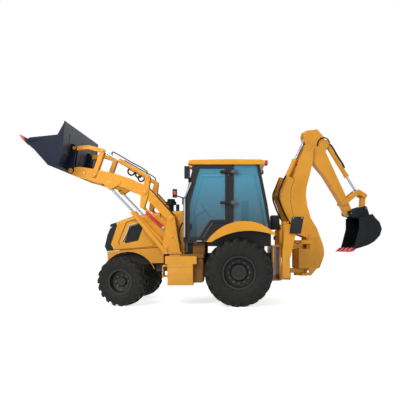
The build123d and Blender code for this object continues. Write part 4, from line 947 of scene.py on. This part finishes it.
def addRearTrim():
    for side, word in sideWords:
        leg = "stabilizer_leg_" + word.lower()
        addSidePlate("stabilizerPad" + word, side, rearTrim["padOutline"], (903, 925.5), 3, blackEnamel, leg)
        addSidePlate("stabilizerGrouser" + word, side, rearTrim["ribOutline"], (922, 981.5), 3, blackEnamel,
                     leg)
        out = Vector((0, side, 0))
        addHexHeads("padBolts" + word, [at(1650, side * 925, 1722), at(1815, side * 925, 1722)], out, 26, 10,
                    zincSteel, leg)
        # Tail lamp under the fender's rear end
        addSideBlock("tailLampBox" + word, side, ((1262, 1300), (900, 1010), (1292, 1368)), 5, blackPlastic,
                     "chassis")
        addSideBlock("tailLamp" + word, side, ((1298, 1308), (908, 1002), (1300, 1360)), 3, redLens,
                     "chassis")
        # Post top boss with its ring
        cheek = side * 186
        addShaft("postBoss" + word, hoeAt(243, cheek - side * 2, 1344), hoeAt(243, cheek + side * 14, 1344),
                 48, 4, yellowEnamel, "swing_post", 32)
        turn = math.radians(layout["swingAngle"])
        across = Vector((-math.sin(turn), math.cos(turn), 0)) * side
        addHexHeads("postBossBolt" + word, [hoeAt(243, cheek + side * 14, 1344)], across, 30, 11, zincSteel,
                    "swing_post")
        # Pin caps on the hoe's joints
        for label, (r, z), h, body, radius in rearTrim["pins"]:
            addShaft(label + "Pin" + word, hoeAt(r, side * (h - 2), z), hoeAt(r, side * (h + 8), z), radius,
                     3, yellowEnamel if body != "hoe_bucket" else hoeBucketPaint, body, 28)
            addHexHeads(label + "PinBolt" + word, [hoeAt(r + radius * 0.45, side * (h + 8), z)], across, 18,
                        8, zincSteel, body)
        # Raised panel edge on the boom and hoses along its front edge
        addSidePlate("boomPanelEdge" + word, side, stripOutline(rearTrim["boomPanel"], 7), (144.5, 146), 0.5,
                     frameEnamel, "boom", hoeAt)
        for index in (0, 1):
            h = side * (158 + 30 * index)
            addHose("boomHose%d%s" % (index, word),
                    [hoeAt(-150, h, 1480), hoeAt(-330, h, 1760), hoeAt(-450, h, 2010), hoeAt(-505, h, 2230),
                     hoeAt(-430, h, 2440), hoeAt(-350, h, 2630)],
                    rearTrim["hoseRadius"], hoseRubber, "boom")
    # Hoses over the dipper's head and the pipes that follow the curl cylinder's barrel
    pinPlaces = {label: place for label, place, h, body, radius in rearTrim["pins"]}
    start, end = Vector(pinPlaces["curlBase"]), Vector(pinPlaces["curlEye"])
    along = (end - start).normalized()
    off = Vector((-along.y, along.x))
    for side, word in sideWords:
        h = side * 100
        addHose("dipperHose" + word, [hoeAt(400, h, 3300), hoeAt(440, h, 3420), hoeAt(530, h, 3482),
                                      hoeAt(630, h, 3470),
                                      hoeAt(700, h, 3380)], rearTrim["hoseRadius"], hoseRubber, "dipper")
        run = [start + along * step + off * reach for step, reach in
               ((60, 60), (110, 74), (400, 74), (640, 74), (690, 60))]
        addHose("curlPipe" + word, [hoeAt(spot.x, side * 18, spot.y) for spot in run], 11, blackEnamel,
                "curl_barrel")
    # Red caps on the hoe bucket's four teeth
    for index in range(4):
        h = rearTrim["toothSpread"] * (2 * index / 3 - 1)
        addPlate("hoeTooth%d" % index, rearTrim["toothOutline"], h - 32, h + 32, 4, redEnamel, "hoe_bucket",
                 hoeAt)
    # Black box behind the cab
    addBlock("rearControlBox", (1240, -600, 1501), (1413, -330, 1790), 14, blackPlastic, "chassis")
    addBlock("rearControlLid", (1236, -604, 1742), (1417, -326, 1760), 4, blackPlastic, "chassis")
    for side, word in sideWords:
        for label, spans, edgeMm, material in rearTrim["sideBlocks"]:
            addSideBlock(label + word, side, spans, edgeMm, material, "chassis")
        addSideBlock("boxLatch" + word, side, ((-556, -528), (995, 1004), (770, 802)), 3, zincSteel,
                     "chassis")


addRearTrim()
print("rear trim made")

# Floor, studio light and camera
studio = {
    "floorColour": "#E6E5E2",
    "floorSize": 60.0,
    "keyEnergy": 900.0,
    "fillEnergy": 130.0,
    "rearEnergy": 220.0,
    "worldStrength": 0.36,
    "floorLift": 0.72,
    "lens": 42.93,
    "cameraPlace": (463.0, -10190.0, 1275.0),
    "shift": (-0.081, 0.102),
}


def seenByRays(tree):
    # 1 where the camera looks straight, in a gloss or through clear glass, and 0 for the light itself
    rays = addNode(tree, "ShaderNodeLightPath").outputs
    seen = addNode(tree, "ShaderNodeMath", {"operation": "MAXIMUM"},
                   {0: rays["Is Camera Ray"], 1: rays["Is Glossy Ray"]})
    return addNode(tree, "ShaderNodeMath", {"operation": "MAXIMUM"},
                   {0: seen.outputs[0], 1: rays["Is Transmission Ray"]})


def addStudio():
    clearSelection()
    bpy.ops.mesh.primitive_plane_add(size=studio["floorSize"], location=(0, 0, 0))
    floor = bpy.context.object
    floor.name = "studioFloor"
    material, tree, shader, place = newMaterial("pale floor")
    shader.inputs["Base Color"].default_value = linear(studio["floorColour"])
    shader.inputs["Roughness"].default_value = 0.9
    # The camera sees the floor lifted to white, while its shadow stays and the object's light is unchanged
    seen = seenByRays(tree)
    lift = addNode(tree, "ShaderNodeMapRange", {"To Min": 0.0, "To Max": studio["floorLift"]},
                   {"Value": seen.outputs[0]})
    shader.inputs["Emission Color"].default_value = (1, 1, 1, 1)
    tree.links.new(lift.outputs["Result"], shader.inputs["Emission Strength"])
    floor.data.materials.append(material)
    lamps = (
        ("keyLamp", (-4.5, -8.5, 7.5), 5.0, studio["keyEnergy"]),
        ("fillLamp", (7.0, -7.0, 5.0), 5.0, studio["fillEnergy"]),
        ("rearLamp", (1.0, 8.0, 7.0), 6.0, studio["rearEnergy"]),
    )
    for name, place, size, energy in lamps:
        bpy.ops.object.light_add(type="AREA", location=place)
        lamp = bpy.context.object
        lamp.name = name
        lamp.data.size = size
        lamp.data.energy = energy
        aim = Vector((0, 0, 1.4)) - Vector(place)
        lamp.rotation_euler = aim.to_track_quat("-Z", "Y").to_euler()
    world = bpy.data.worlds.new("studioWorld")
    bpy.context.scene.world = world
    world.use_nodes = True
    # Camera, gloss and clear glass see plain white; the object is lit at the lower level
    tree = world.node_tree
    seen = seenByRays(tree)
    level = addNode(tree, "ShaderNodeMapRange", {"To Min": studio["worldStrength"], "To Max": 1.0},
                    {"Value": seen.outputs[0]})
    tree.nodes["Background"].inputs["Color"].default_value = (1, 1, 1, 1)
    tree.links.new(level.outputs["Result"], tree.nodes["Background"].inputs["Strength"])
    bpy.ops.object.camera_add(location=at(*studio["cameraPlace"]), rotation=(math.radians(90), 0, 0))
    camera = bpy.context.object
    camera.data.sensor_width = 36
    camera.data.lens = studio["lens"]
    camera.data.shift_x, camera.data.shift_y = studio["shift"]
    bpy.context.scene.camera = camera
    bpy.context.scene.view_settings.view_transform = "Standard"


addStudio()
print("studio ready")
